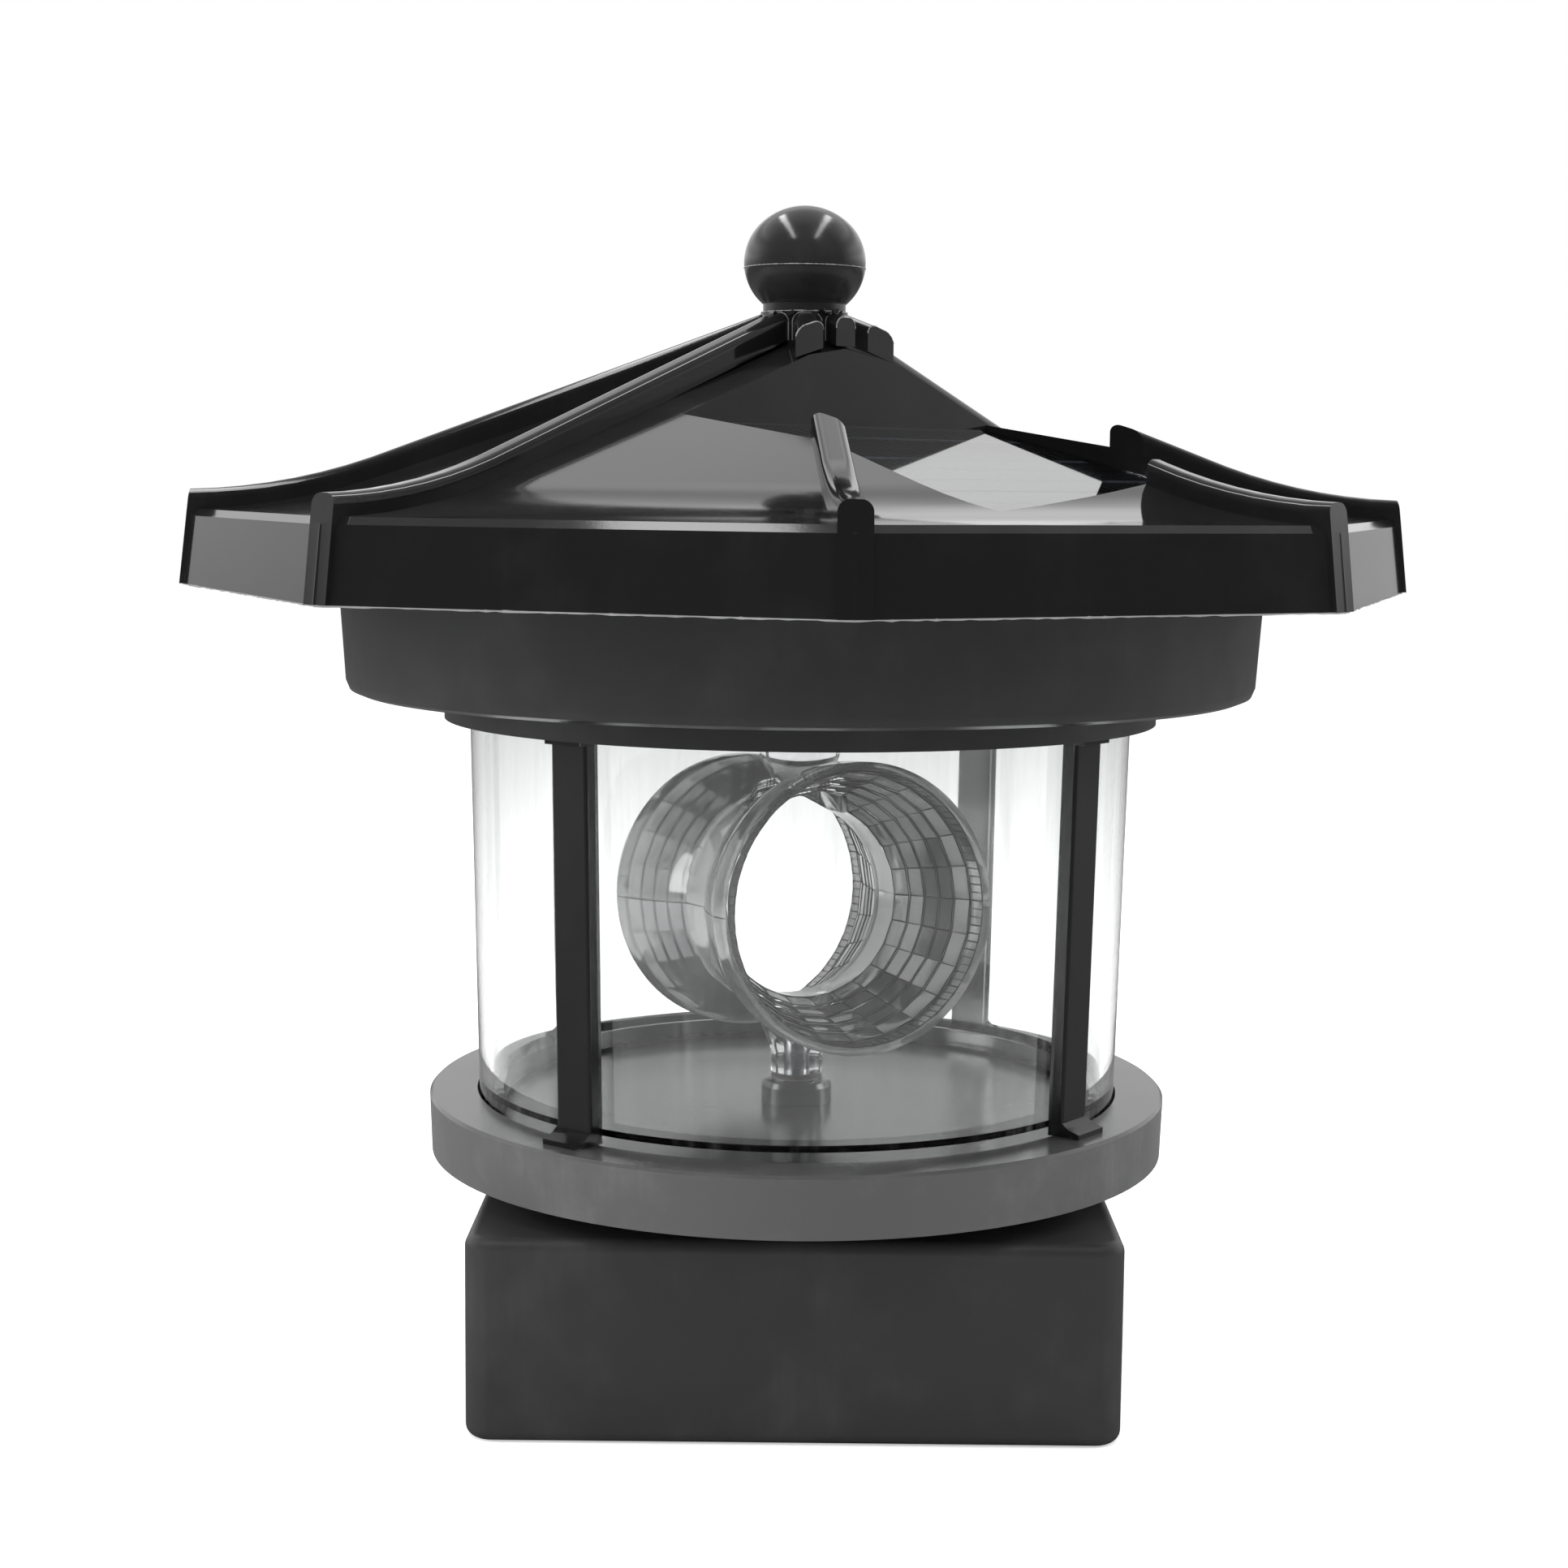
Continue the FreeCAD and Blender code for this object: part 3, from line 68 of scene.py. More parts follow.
# The camera, solved from the case's corners, the roof's corners and the round cup and gallery.
cameraView = {
    "place": (0.0, -320.33, 107.86),  # mm
    "pitchDown": 6.62,                # degrees
    "roll": 0.59,
    "lens": 59.98,                    # mm on the sensor below
    "sensor": 36,
    "shiftX": -0.0099,                # the object stands a little right of the frame's middle
    "clip": (0.01, 50),               # metres
}


def makeCamera(view):
    data = bpy.data.cameras.new("camera")
    data.lens = view["lens"]
    data.sensor_width = view["sensor"]
    data.shift_x = view["shiftX"]
    data.clip_start, data.clip_end = view["clip"]
    camera = bpy.data.objects.new("camera", data)
    bpy.context.collection.objects.link(camera)
    pitch, roll = math.radians(view["pitchDown"]), math.radians(view["roll"])
    ahead = Vector((0, math.cos(pitch), -math.sin(pitch)))
    right, up = Vector((1, 0, 0)), Vector((0, math.sin(pitch), math.cos(pitch)))
    across = right * math.cos(roll) + up * math.sin(roll)
    above = up * math.cos(roll) - right * math.sin(roll)
    turn = Matrix((across, above, -ahead)).transposed().to_4x4()
    camera.matrix_world = Matrix.Translation(Vector(view["place"]) * mm) @ turn
    bpy.context.scene.camera = camera


makeCamera(cameraView)
print("camera placed")


# The stage: seamless white paper, a white room and softboxes.
studio = {
    "floorHalf": 4000.0,         # mm
    "floorColor": "#f4f4f4",
    "floorLift": 0.45,           # what the camera sees on top of the lit paper
    "liftThrough": 0.42,         # the share of it seen through clear plastic
    "skyDiffuse": 0.62,
    "darkRoom": 0.05,            # what gloss sees towards the camera, where the room is dark
    "darkEdge": (-0.35, 0.45),   # from front to back, where that dark room ends
    "dimRoom": 0.16,             # what light bent back by the clear lens sees there
    "dimEdge": (-0.25, 0.30),
    "glossFloor": "#6e6e6e",     # the paper as gloss sees it
    "glossPeak": 1.4,            # what gloss sees at the brightest card behind the object
}

# Cards behind the object as gloss sees them: sine of the height above the horizon, share of the peak.
backCards = {
    0.0: 0.38, 0.05: 0.45, 0.14: 0.86, 0.235: 0.70, 0.32: 0.86,
    0.50: 0.42, 0.60: 0.80, 0.68: 0.60, 0.82: 0.42, 1.0: 0.36,
}

# Place and aim in mm, size in mm, power in watts. Only the strips show in gloss.
softboxes = {
    "topStripLeft": {"place": (-200, 0, 620), "aim": (-200, 0, 90), "size": (60, 800),
                     "power": 1.1, "shows": True},
    "topStripRight": {"place": (200, 0, 620), "aim": (200, 0, 90), "size": (60, 800),
                      "power": 1.0, "shows": True},
    "topSoftbox": {"place": (-60, -120, 640), "aim": (0, 0, 90), "size": (520, 400),
                   "power": 2.4, "shows": False},
    "leftSoftbox": {"place": (-620, -120, 260), "aim": (0, 0, 80), "size": (260, 420),
                    "power": 3.2, "shows": False},
    "rightSoftbox": {"place": (640, 60, 300), "aim": (0, 0, 80), "size": (220, 420),
                     "power": 2.4, "shows": False},
}


def stepUp(tree, value, low, high, bottom=0.0, top=1.0):  # a soft step between low and high
    return addNode(tree, "ShaderNodeMapRange",
                   {"interpolation_type": "SMOOTHSTEP", "From Min": low, "From Max": high,
                    "To Min": bottom, "To Max": top},
                   {"Value": value}).outputs["Result"]


def makeSky(look, cards):  # white to the camera, bright cards behind and a dark room in front to gloss
    world = bpy.data.worlds.new("whiteRoom")
    bpy.context.scene.world = world
    world.use_nodes = True
    tree = world.node_tree
    tree.nodes.clear()
    direction = addNode(tree, "ShaderNodeSeparateXYZ", {},
                        {"Vector": addNode(tree, "ShaderNodeTexCoord").outputs["Generated"]})
    rays = addNode(tree, "ShaderNodeLightPath")
    cardRamp = addNode(tree, "ShaderNodeValToRGB", {}, {"Fac": direction.outputs["Z"]})
    stops = cardRamp.color_ramp.elements
    cardRamp.color_ramp.interpolation = "EASE"
    while len(stops) < len(cards):
        stops.new(0.5)
    for stop, (height, share) in zip(stops, sorted(cards.items())):
        stop.position, stop.color = height, (share, share, share, 1.0)
    behind = stepUp(tree, direction.outputs["Y"], *look["darkEdge"])
    lit = addNode(tree, "ShaderNodeMath", {"operation": "MULTIPLY", 1: look["glossPeak"]},
                  {0: cardRamp.outputs["Color"]})
    room = addNode(tree, "ShaderNodeMix", {"data_type": "FLOAT", "A": look["darkRoom"]},
                   {"Factor": behind, "B": lit.outputs["Value"]})
    through = stepUp(tree, direction.outputs["Y"], *look["dimEdge"], look["dimRoom"])
    gloss = addNode(tree, "ShaderNodeMix", {"data_type": "FLOAT", "A": look["skyDiffuse"]},
                    {"Factor": rays.outputs["Is Glossy Ray"], "B": room.outputs["Result"]})
    bent = addNode(tree, "ShaderNodeMix", {"data_type": "FLOAT"},
                   {"Factor": rays.outputs["Is Transmission Ray"], "A": gloss.outputs["Result"], "B": through})
    strength = addNode(tree, "ShaderNodeMix", {"data_type": "FLOAT", "B": 1.0},
                       {"Factor": rays.outputs["Is Camera Ray"], "A": bent.outputs["Result"]})
    sky = addNode(tree, "ShaderNodeBackground", {"Color": hexColor("#ffffff")},
                  {"Strength": strength.outputs["Result"]})
    addNode(tree, "ShaderNodeOutputWorld", {}, {"Surface": sky.outputs["Background"]})


def makeFloor(look):  # matt white paper that stays white to the camera and grey to gloss
    half = look["floorHalf"] * mm
    corners = [(-half, -half, 0), (half, -half, 0), (half, half, 0), (-half, half, 0)]
    mesh = bpy.data.meshes.new("floor")
    mesh.from_pydata(corners, [], [(0, 1, 2, 3)])
    floor = bpy.data.objects.new("floor", mesh)
    bpy.context.collection.objects.link(floor)
    material, tree, shader = startMaterial("seamlessPaper")[:3]
    shader.inputs["Roughness"].default_value = 0.9
    shader.inputs["Specular IOR Level"].default_value = 0.1
    rays = addNode(tree, "ShaderNodeLightPath")
    gloss = addNode(tree, "ShaderNodeMath", {"operation": "SUBTRACT", "use_clamp": True},
                    {0: rays.outputs["Is Glossy Ray"], 1: rays.outputs["Is Transmission Ray"]})
    tone = addNode(tree, "ShaderNodeMix",
                   {"data_type": "RGBA", 6: hexColor(look["floorColor"]), 7: hexColor(look["glossFloor"])},
                   {0: gloss.outputs["Value"]})
    tree.links.new(tone.outputs[2], shader.inputs["Base Color"])
    seen = addNode(tree, "ShaderNodeMath", {"operation": "MULTIPLY_ADD", 1: look["liftThrough"]},
                   {0: rays.outputs["Is Transmission Ray"], 2: rays.outputs["Is Camera Ray"]})
    lift = addNode(tree, "ShaderNodeMath", {"operation": "MULTIPLY", 1: look["floorLift"]},
                   {0: seen.outputs["Value"]})
    tree.links.new(lift.outputs["Value"], shader.inputs["Emission Strength"])
    shader.inputs["Emission Color"].default_value = hexColor("#ffffff")
    mesh.materials.append(material)


def makeSoftbox(name, box):
    data = bpy.data.lights.new(name, "AREA")
    data.shape = "RECTANGLE"
    data.size, data.size_y = box["size"][0] * mm, box["size"][1] * mm
    data.energy = box["power"]
    lamp = bpy.data.objects.new(name, data)
    bpy.context.collection.objects.link(lamp)
    lamp.location = Vector(box["place"]) * mm
    lamp.rotation_euler = (Vector(box["aim"]) * mm - lamp.location).to_track_quat("-Z", "Y").to_euler()
    lamp.visible_glossy = box["shows"]


makeSky(studio, backCards)
makeFloor(studio)
for boxName, box in softboxes.items():
    makeSoftbox(boxName, box)
bpy.context.scene.view_settings.view_transform = "Standard"
print("stage lit")


# Moulded finishes. rough is the mould's gloss, rub how much duller rubbed patches are. wave and grain are the
# widths of the slow sinks and of the fine grain in mm, waveDeep and grainDeep their heights in mm.
mouldings = {
    # black ABS from a polished mould: mirrors the cards behind it in long clean shapes
    "polishedRoofAbs": {"color": "#171718", "rough": 0.08, "rub": 0.08,
                        "wave": 26.0, "waveDeep": 0.012, "grain": 0.5, "grainDeep": 0.0015},
    # a softer black on the ball, so that the strips above draw two short streaks
    "satinBallAbs": {"color": "#262627", "rough": 0.15, "rub": 0.14,
                     "wave": 9.0, "waveDeep": 0.03, "grain": 0.5, "grainDeep": 0.004},
    # the deepest black, on the posts
    "polishedPostAbs": {"color": "#131314", "rough": 0.16, "rub": 0.08,
                        "wave": 14.0, "waveDeep": 0.03, "grain": 0.5, "grainDeep": 0.002},
    # dark grey with a soft sheen, on the cup under the roof
    "cupAbs": {"color": "#2b2b2c", "rough": 0.30, "rub": 0.10,
               "wave": 20.0, "waveDeep": 0.04, "grain": 0.5, "grainDeep": 0.004},
    # mid grey and glossier, so that window and posts mirror in the gallery
    "galleryAbs": {"color": "#545455", "rough": 0.20, "rub": 0.10,
                   "wave": 20.0, "waveDeep": 0.03, "grain": 0.5, "grainDeep": 0.003},
    # dark grey and nearly matt, on the case
    "satinCaseAbs": {"color": "#323232", "rough": 0.42, "rub": 0.10,
                     "wave": 18.0, "waveDeep": 0.03, "grain": 0.45, "grainDeep": 0.010},
    # matt black of the gear plate and the switch
    "mattNylon": {"color": "#232324", "rough": 0.55, "rub": 0.08,
                  "wave": 9.0, "waveDeep": 0.02, "grain": 0.4, "grainDeep": 0.008},
    # waxy off-white of the gears and the lamp holder
    "naturalAcetal": {"color": "#dcdbd2", "rough": 0.38, "rub": 0.05,
                      "wave": 6.0, "waveDeep": 0.01, "grain": 0.4, "grainDeep": 0.003},
    # dull black of the chip's body
    "chipEpoxy": {"color": "#18181a", "rough": 0.6, "rub": 0.05,
                  "wave": 5.0, "waveDeep": 0.01, "grain": 0.3, "grainDeep": 0.008},
    # brown-black and sandy, on the coil's drum
    "ferriteDrum": {"color": "#2b2826", "rough": 0.65, "rub": 0.08,
                    "wave": 4.0, "waveDeep": 0.02, "grain": 0.3, "grainDeep": 0.02},
    # dull black of the rings under and over the window
    "sealRubber": {"color": "#1c1c1c", "rough": 0.7, "rub": 0.06,
                   "wave": 8.0, "waveDeep": 0.02, "grain": 0.4, "grainDeep": 0.006},
    # pale grey: rubbed black plastic on the ball's parting line, and painted highlights on the roof's lower
    # edge and on the bead rims
    "rubbedEdgeAndHighlightAbs": {"color": "#8a8a8a", "rough": 0.30, "rub": 0.10,
                    "wave": 4.0, "waveDeep": 0.01, "grain": 0.4, "grainDeep": 0.010},
    # dark grey lines: the lens's parting lines, and painted shade drawing the dark outlines of its facets
    "partingLineAndFacetShade": {"color": "#353534", "rough": 0.90, "rub": 0.05,
                   "wave": 3.0, "waveDeep": 0.01, "grain": 0.2, "grainDeep": 0.010},
    # grey-brown of the board's small parts
    "ceramicBlock": {"color": "#6e6154", "rough": 0.55, "rub": 0.05,
                     "wave": 3.0, "waveDeep": 0.01, "grain": 0.2, "grainDeep": 0.006},
    # supple black of the leads
    "leadSleeve": {"color": "#131314", "rough": 0.45, "rub": 0.08,
                   "wave": 5.0, "waveDeep": 0.02, "grain": 0.4, "grainDeep": 0.004},
}

# Handling marks on every moulding: the width of a rubbed patch and of the streaks in it in mm, how far the
# streaks are drawn out upwards, and how much paler the plastic is there.
wear = {"patch": 11.0, "patchFrom": 0.48, "patchTo": 0.74, "streak": 0.9, "squash": 0.12, "paler": 1.6}


def noise(tree, coords, width, settings={}):  # soft noise with features of this width in mm
    values = dict(settings, Scale=1 / (width * mm))
    return addNode(tree, "ShaderNodeTexNoise", values, {"Vector": coords}).outputs["Fac"]


def bump(tree, height, deep, strength, under=None):  # deep in mm, on top of another bump if there is one
    node = addNode(tree, "ShaderNodeBump", {"Strength": strength, "Distance": deep * mm}, {"Height": height})
    if under is not None:
        tree.links.new(under, node.inputs["Normal"])
    return node.outputs["Normal"]


def moulded(name, look):
    material, tree, shader, coords = startMaterial(name)
    wave = noise(tree, coords, look["wave"], {"Detail": 1.0})
    grain = noise(tree, coords, look["grain"], {"Detail": 2.0})
    rub = noise(tree, coords, wear["patch"], {"Detail": 6.0, "Roughness": 0.62})
    upright = addNode(tree, "ShaderNodeMapping", {"Scale": (1.0, 1.0, wear["squash"])}, {"Vector": coords})
    streak = noise(tree, upright.outputs["Vector"], wear["streak"], {"Detail": 2.0})
    patch = addNode(tree, "ShaderNodeMapRange", {"From Min": wear["patchFrom"], "From Max": wear["patchTo"]},
                    {"Value": rub})
    worn = addNode(tree, "ShaderNodeMath", {"operation": "MULTIPLY"},
                   {0: patch.outputs["Result"], 1: streak}).outputs["Value"]
    rough = addNode(tree, "ShaderNodeMath", {"operation": "MULTIPLY_ADD", 1: look["rub"], 2: look["rough"]},
                    {0: worn})
    tree.links.new(rough.outputs["Value"], shader.inputs["Roughness"])
    base = hexColor(look["color"])
    paler = tuple(min(1.0, c * wear["paler"] + 0.003) for c in base[:3]) + (1.0,)
    tone = addNode(tree, "ShaderNodeMix", {"data_type": "RGBA", 6: base, 7: paler}, {0: worn})
    tree.links.new(tone.outputs[2], shader.inputs["Base Color"])
    slow = bump(tree, wave, look["waveDeep"], 0.6)
    tree.links.new(bump(tree, grain, look["grainDeep"], 1.0, slow), shader.inputs["Normal"])
    shader.inputs["IOR"].default_value = 1.54  # ABS
    return material


# Clear plastics. haze is how much duller cloudy patches are, dust how much a streak hides what lies behind.
clears = {
    # styrene window: clear with faint upright streaks, a little grey at its edges
    "clearWindow": {"color": "#f6f7f7", "ior": 1.49, "rough": 0.015, "haze": 0.05,
                    "wave": 18.0, "waveDeep": 0.02, "dust": 0.07},
    # epoxy of the lamp: bright and glassy
    "clearLamp": {"color": "#f8f9f9", "ior": 1.53, "rough": 0.01, "haze": 0.02,
                  "wave": 4.0, "waveDeep": 0.01, "dust": 0.0},
    # resin over the panel: a flat mirror with the cells dark below it
    "castResin": {"color": "#84878b", "ior": 1.50, "rough": 0.03, "haze": 0.02,
                  "wave": 24.0, "waveDeep": 0.006, "dust": 0.0},
}


def clearMoulded(name, look):
    material, tree, shader, coords = startMaterial(name)
    shader.inputs["Base Color"].default_value = hexColor(look["color"])
    shader.inputs["IOR"].default_value = look["ior"]
    upright = addNode(tree, "ShaderNodeMapping", {"Scale": (1.0, 1.0, 0.08)}, {"Vector": coords})
    streak = noise(tree, upright.outputs["Vector"], 2.2, {"Detail": 5.0, "Roughness": 0.65})
    clear = addNode(tree, "ShaderNodeMapRange",
                    {"From Min": 0.52, "From Max": 0.75, "To Min": 1.0, "To Max": 1.0 - look["dust"]},
                    {"Value": streak})
    tree.links.new(clear.outputs["Result"], shader.inputs["Transmission Weight"])
    haze = noise(tree, coords, 9, {"Detail": 5.0, "Roughness": 0.7})
    cloud = addNode(tree, "ShaderNodeMapRange",
                    {"From Min": 0.5, "From Max": 0.8,
                     "To Min": look["rough"], "To Max": look["rough"] + look["haze"]}, {"Value": haze})
    tree.links.new(cloud.outputs["Result"], shader.inputs["Roughness"])
    wave = noise(tree, coords, look["wave"], {"Detail": 1.0})
    tree.links.new(bump(tree, wave, look["waveDeep"], 0.5), shader.inputs["Normal"])
    return material


# Clear styrene of the lens: bright facets inside, and an outer skin with painted shade, grey and less clear,
# standing in for the dark surroundings that the clear skin mirrors, so that it hides what lies behind it.
def lensStyrene():
    material, tree, shader, coords = startMaterial("lensStyrene")
    skin = addNode(tree, "ShaderNodeAttribute", {"attribute_name": "outerSkin"}).outputs["Fac"]
    cloud = noise(tree, coords, 5, {"Detail": 4.0})
    # painted shade: the outer skin turns grey and lets less light through
    tone = addNode(tree, "ShaderNodeMix", {"data_type": "RGBA", 6: hexColor("#eeeeee"), 7: hexColor("#8a8a8a")},
                   {0: skin})
    tree.links.new(tone.outputs[2], shader.inputs["Base Color"])
    skinShadeTransmission = addNode(tree, "ShaderNodeMath", {"operation": "MULTIPLY_ADD", 1: -0.60, 2: 0.95}, {0: skin})
    tree.links.new(skinShadeTransmission.outputs["Value"], shader.inputs["Transmission Weight"])
    drawn = addNode(tree, "ShaderNodeMath", {"operation": "MULTIPLY_ADD", 1: 0.05, 2: 0.01}, {0: skin})
    rough = addNode(tree, "ShaderNodeMath", {"operation": "MULTIPLY_ADD", 1: 0.04},
                    {0: cloud, 2: drawn.outputs["Value"]})
    tree.links.new(rough.outputs["Value"], shader.inputs["Roughness"])
    shader.inputs["IOR"].default_value = 1.57
    return material


# Metals with fine lines along the tool's way and a little tarnish. line is the lines' width and lineDeep their
# depth, in mm.
metals = {
    "zincPlate": {"color": "#b9bcc2", "rough": 0.34, "line": 0.25, "lineDeep": 0.004},     # cool grey screws
    "nickelPlate": {"color": "#c9c8c3", "rough": 0.20, "line": 0.3, "lineDeep": 0.003},    # bright warm spring
    "groundSteel": {"color": "#c2c4c8", "rough": 0.26, "line": 0.15, "lineDeep": 0.004},  # bright drawn shafts
    "platedCan": {"color": "#aeb1b6", "rough": 0.30, "line": 0.35, "lineDeep": 0.004},     # soft grey motor
    "sinteredSteel": {"color": "#8f8d8a", "rough": 0.48, "line": 0.2, "lineDeep": 0.006},  # dull porous bushes
    "silverPaste": {"color": "#8c9096", "rough": 0.42, "line": 0.3, "lineDeep": 0.002},    # pale cell lines
    "enamelCopper": {"color": "#a8612f", "rough": 0.24, "line": 0.3, "lineDeep": 0.002},   # red-brown winding
    "solderTin": {"color": "#b4b6b8", "rough": 0.22, "line": 0.6, "lineDeep": 0.004},      # small bright beads
}


def metal(name, look):
    material, tree, shader, coords = startMaterial(name)
    shader.inputs["Metallic"].default_value = 1.0
    lines = addNode(tree, "ShaderNodeMapping", {"Scale": (1.0, 1.0, 6.0)}, {"Vector": coords})
    turned = noise(tree, lines.outputs["Vector"], look["line"] * 4, {"Detail": 3.0})
    dull = noise(tree, coords, 3, {"Detail": 4.0})
    base = hexColor(look["color"])
    darker = tuple(c * 0.72 for c in base[:3]) + (1.0,)
    tone = addNode(tree, "ShaderNodeMix", {"data_type": "RGBA", 6: darker, 7: base}, {0: dull})
    tree.links.new(tone.outputs[2], shader.inputs["Base Color"])
    rough = addNode(tree, "ShaderNodeMath", {"operation": "MULTIPLY_ADD", 1: 0.18, 2: look["rough"] - 0.09},
                    {0: dull})
    tree.links.new(rough.outputs["Value"], shader.inputs["Roughness"])
    tree.links.new(bump(tree, turned, look["lineDeep"], 0.8), shader.inputs["Normal"])
    return material


# Plain shrink sleeve on the cell: pale grey with a dark band at the raised end and bare metal ends.
cellLook = {"band": (15.9 * mm, 16.1 * mm), "end": (24.2 * mm, 24.3 * mm)}  # where each starts


def cellSleeve(look):
    material, tree, shader, coords = startMaterial("cellSleeve")
    along = addNode(tree, "ShaderNodeSeparateXYZ", {}, {"Vector": coords}).outputs["X"]
    band = addNode(tree, "ShaderNodeMapRange", {"From Min": look["band"][0], "From Max": look["band"][1]},
                   {"Value": along})
    side = addNode(tree, "ShaderNodeMath", {"operation": "ABSOLUTE"}, {0: along})
    end = addNode(tree, "ShaderNodeMapRange", {"From Min": look["end"][0], "From Max": look["end"][1]},
                  {"Value": side.outputs["Value"]})
    sleeve = addNode(tree, "ShaderNodeMix",
                     {"data_type": "RGBA", 6: hexColor("#8f9296"), 7: hexColor("#2b3036")},
                     {0: band.outputs["Result"]})
    tone = addNode(tree, "ShaderNodeMix", {"data_type": "RGBA", 7: hexColor("#c4c5c6")},
                   {0: end.outputs["Result"], 6: sleeve.outputs[2]})
    tree.links.new(tone.outputs[2], shader.inputs["Base Color"])
    tree.links.new(end.outputs["Result"], shader.inputs["Metallic"])
    wrinkle = noise(tree, coords, 2.5, {"Detail": 3.0})
    tree.links.new(bump(tree, wrinkle, 0.02, 0.5), shader.inputs["Normal"])
    shader.inputs["Roughness"].default_value = 0.28
    return material


# Glass-fibre laminate under solder mask: the mask's colour with the weave just showing and copper runs below.
def maskedLaminate(name, maskColor, runColor, pitch):
    material, tree, shader, coords = startMaterial(name)
    weave = addNode(tree, "ShaderNodeTexChecker",
                    {"Scale": 1 / (0.35 * mm), "Color1": (1, 1, 1, 1), "Color2": (0.8, 0.8, 0.8, 1)},
                    {"Vector": coords})
    runs = addNode(tree, "ShaderNodeTexVoronoi",
                   {"Scale": 1 / (pitch * mm), "distance": "CHEBYCHEV", "feature": "F1"}, {"Vector": coords})
    track = addNode(tree, "ShaderNodeMapRange", {"From Min": 0.40, "From Max": 0.44},
                    {"Value": runs.outputs["Distance"]}).outputs["Result"]
    tone = addNode(tree, "ShaderNodeMix", {"data_type": "RGBA", 6: hexColor(maskColor), 7: hexColor(runColor)},
                   {0: track})
    woven = addNode(tree, "ShaderNodeMix", {"data_type": "RGBA", "blend_type": "MULTIPLY", 0: 0.5},
                    {6: tone.outputs[2], 7: weave.outputs["Color"]})
    tree.links.new(woven.outputs[2], shader.inputs["Base Color"])
    tree.links.new(bump(tree, track, 0.03, 0.7), shader.inputs["Normal"])
    shader.inputs["Roughness"].default_value = 0.35
    return material


# Polycrystalline silicon under its blue-black coating: crystal flakes a few millimetres wide.
def siliconCell():
    material, tree, shader, coords = startMaterial("siliconCell")
    flakes = addNode(tree, "ShaderNodeTexVoronoi", {"Scale": 1 / (3.5 * mm)}, {"Vector": coords})
    shade = addNode(tree, "ShaderNodeSeparateColor", {}, {"Color": flakes.outputs["Color"]}).outputs["Red"]
    tone = addNode(tree, "ShaderNodeMix", {"data_type": "RGBA", 6: hexColor("#0d0e13"), 7: hexColor("#15171e")},
                   {0: shade})
    tree.links.new(tone.outputs[2], shader.inputs["Base Color"])
    rough = addNode(tree, "ShaderNodeMath", {"operation": "MULTIPLY_ADD", 1: 0.12, 2: 0.16}, {0: shade})
    tree.links.new(rough.outputs["Value"], shader.inputs["Roughness"])
    shader.inputs["IOR"].default_value = 1.9
    return material


finish = {name: moulded(name, look) for name, look in mouldings.items()}
finish.update({name: clearMoulded(name, look) for name, look in clears.items()})
finish.update({name: metal(name, look) for name, look in metals.items()})
finish["cellSleeve"] = cellSleeve(cellLook)
finish["lensStyrene"] = lensStyrene()
finish["greenLaminate"] = maskedLaminate("greenLaminate", "#1f5a34", "#2f7a48", 3.2)
finish["darkLaminate"] = maskedLaminate("darkLaminate", "#141417", "#1b1b20", 5.0)
finish["siliconCell"] = siliconCell()
print("finishes made:", len(finish))


# CAD nodes that keep their own solid and only take a finish.
plainNodes = {
    "zincPlate": ["case_screws", "plate_screws", "motor_screws", "disc_screws", "roof_screws", "board_screws",
                  "finial_screw"],
    "nickelPlate": ["battery_spring", "contact_plates", "motor_tags"],
    "groundSteel": ["motor_shaft", "drive_shaft", "gear_pins"],
    "platedCan": ["motor_can"],
    "sinteredSteel": ["lower_bush", "upper_bush"],
    "naturalAcetal": ["motor_pinion", "first_gear", "second_gear", "output_gear", "lamp_holder"],
    "mattNylon": ["gear_plate", "switch_body", "switch_slider"],
    "sealRubber": ["lower_seal", "upper_seal"],
    "leadSleeve": ["main_lead", "panel_lead", "motor_lead", "switch_lead"],
    "chipEpoxy": ["control_chip"],
    "ferriteDrum": ["boost_coil"],
    "greenLaminate": ["circuit_board"],
    "darkLaminate": ["solar_board"],
    "siliconCell": ["solar_cells"],
    "cellSleeve": ["battery_cell"],
}
for finishName, group in plainNodes.items():
    for nodeName in group:
        mesh = nodes[nodeName].data
        mesh.materials.clear()
        mesh.materials.append(finish[finishName])

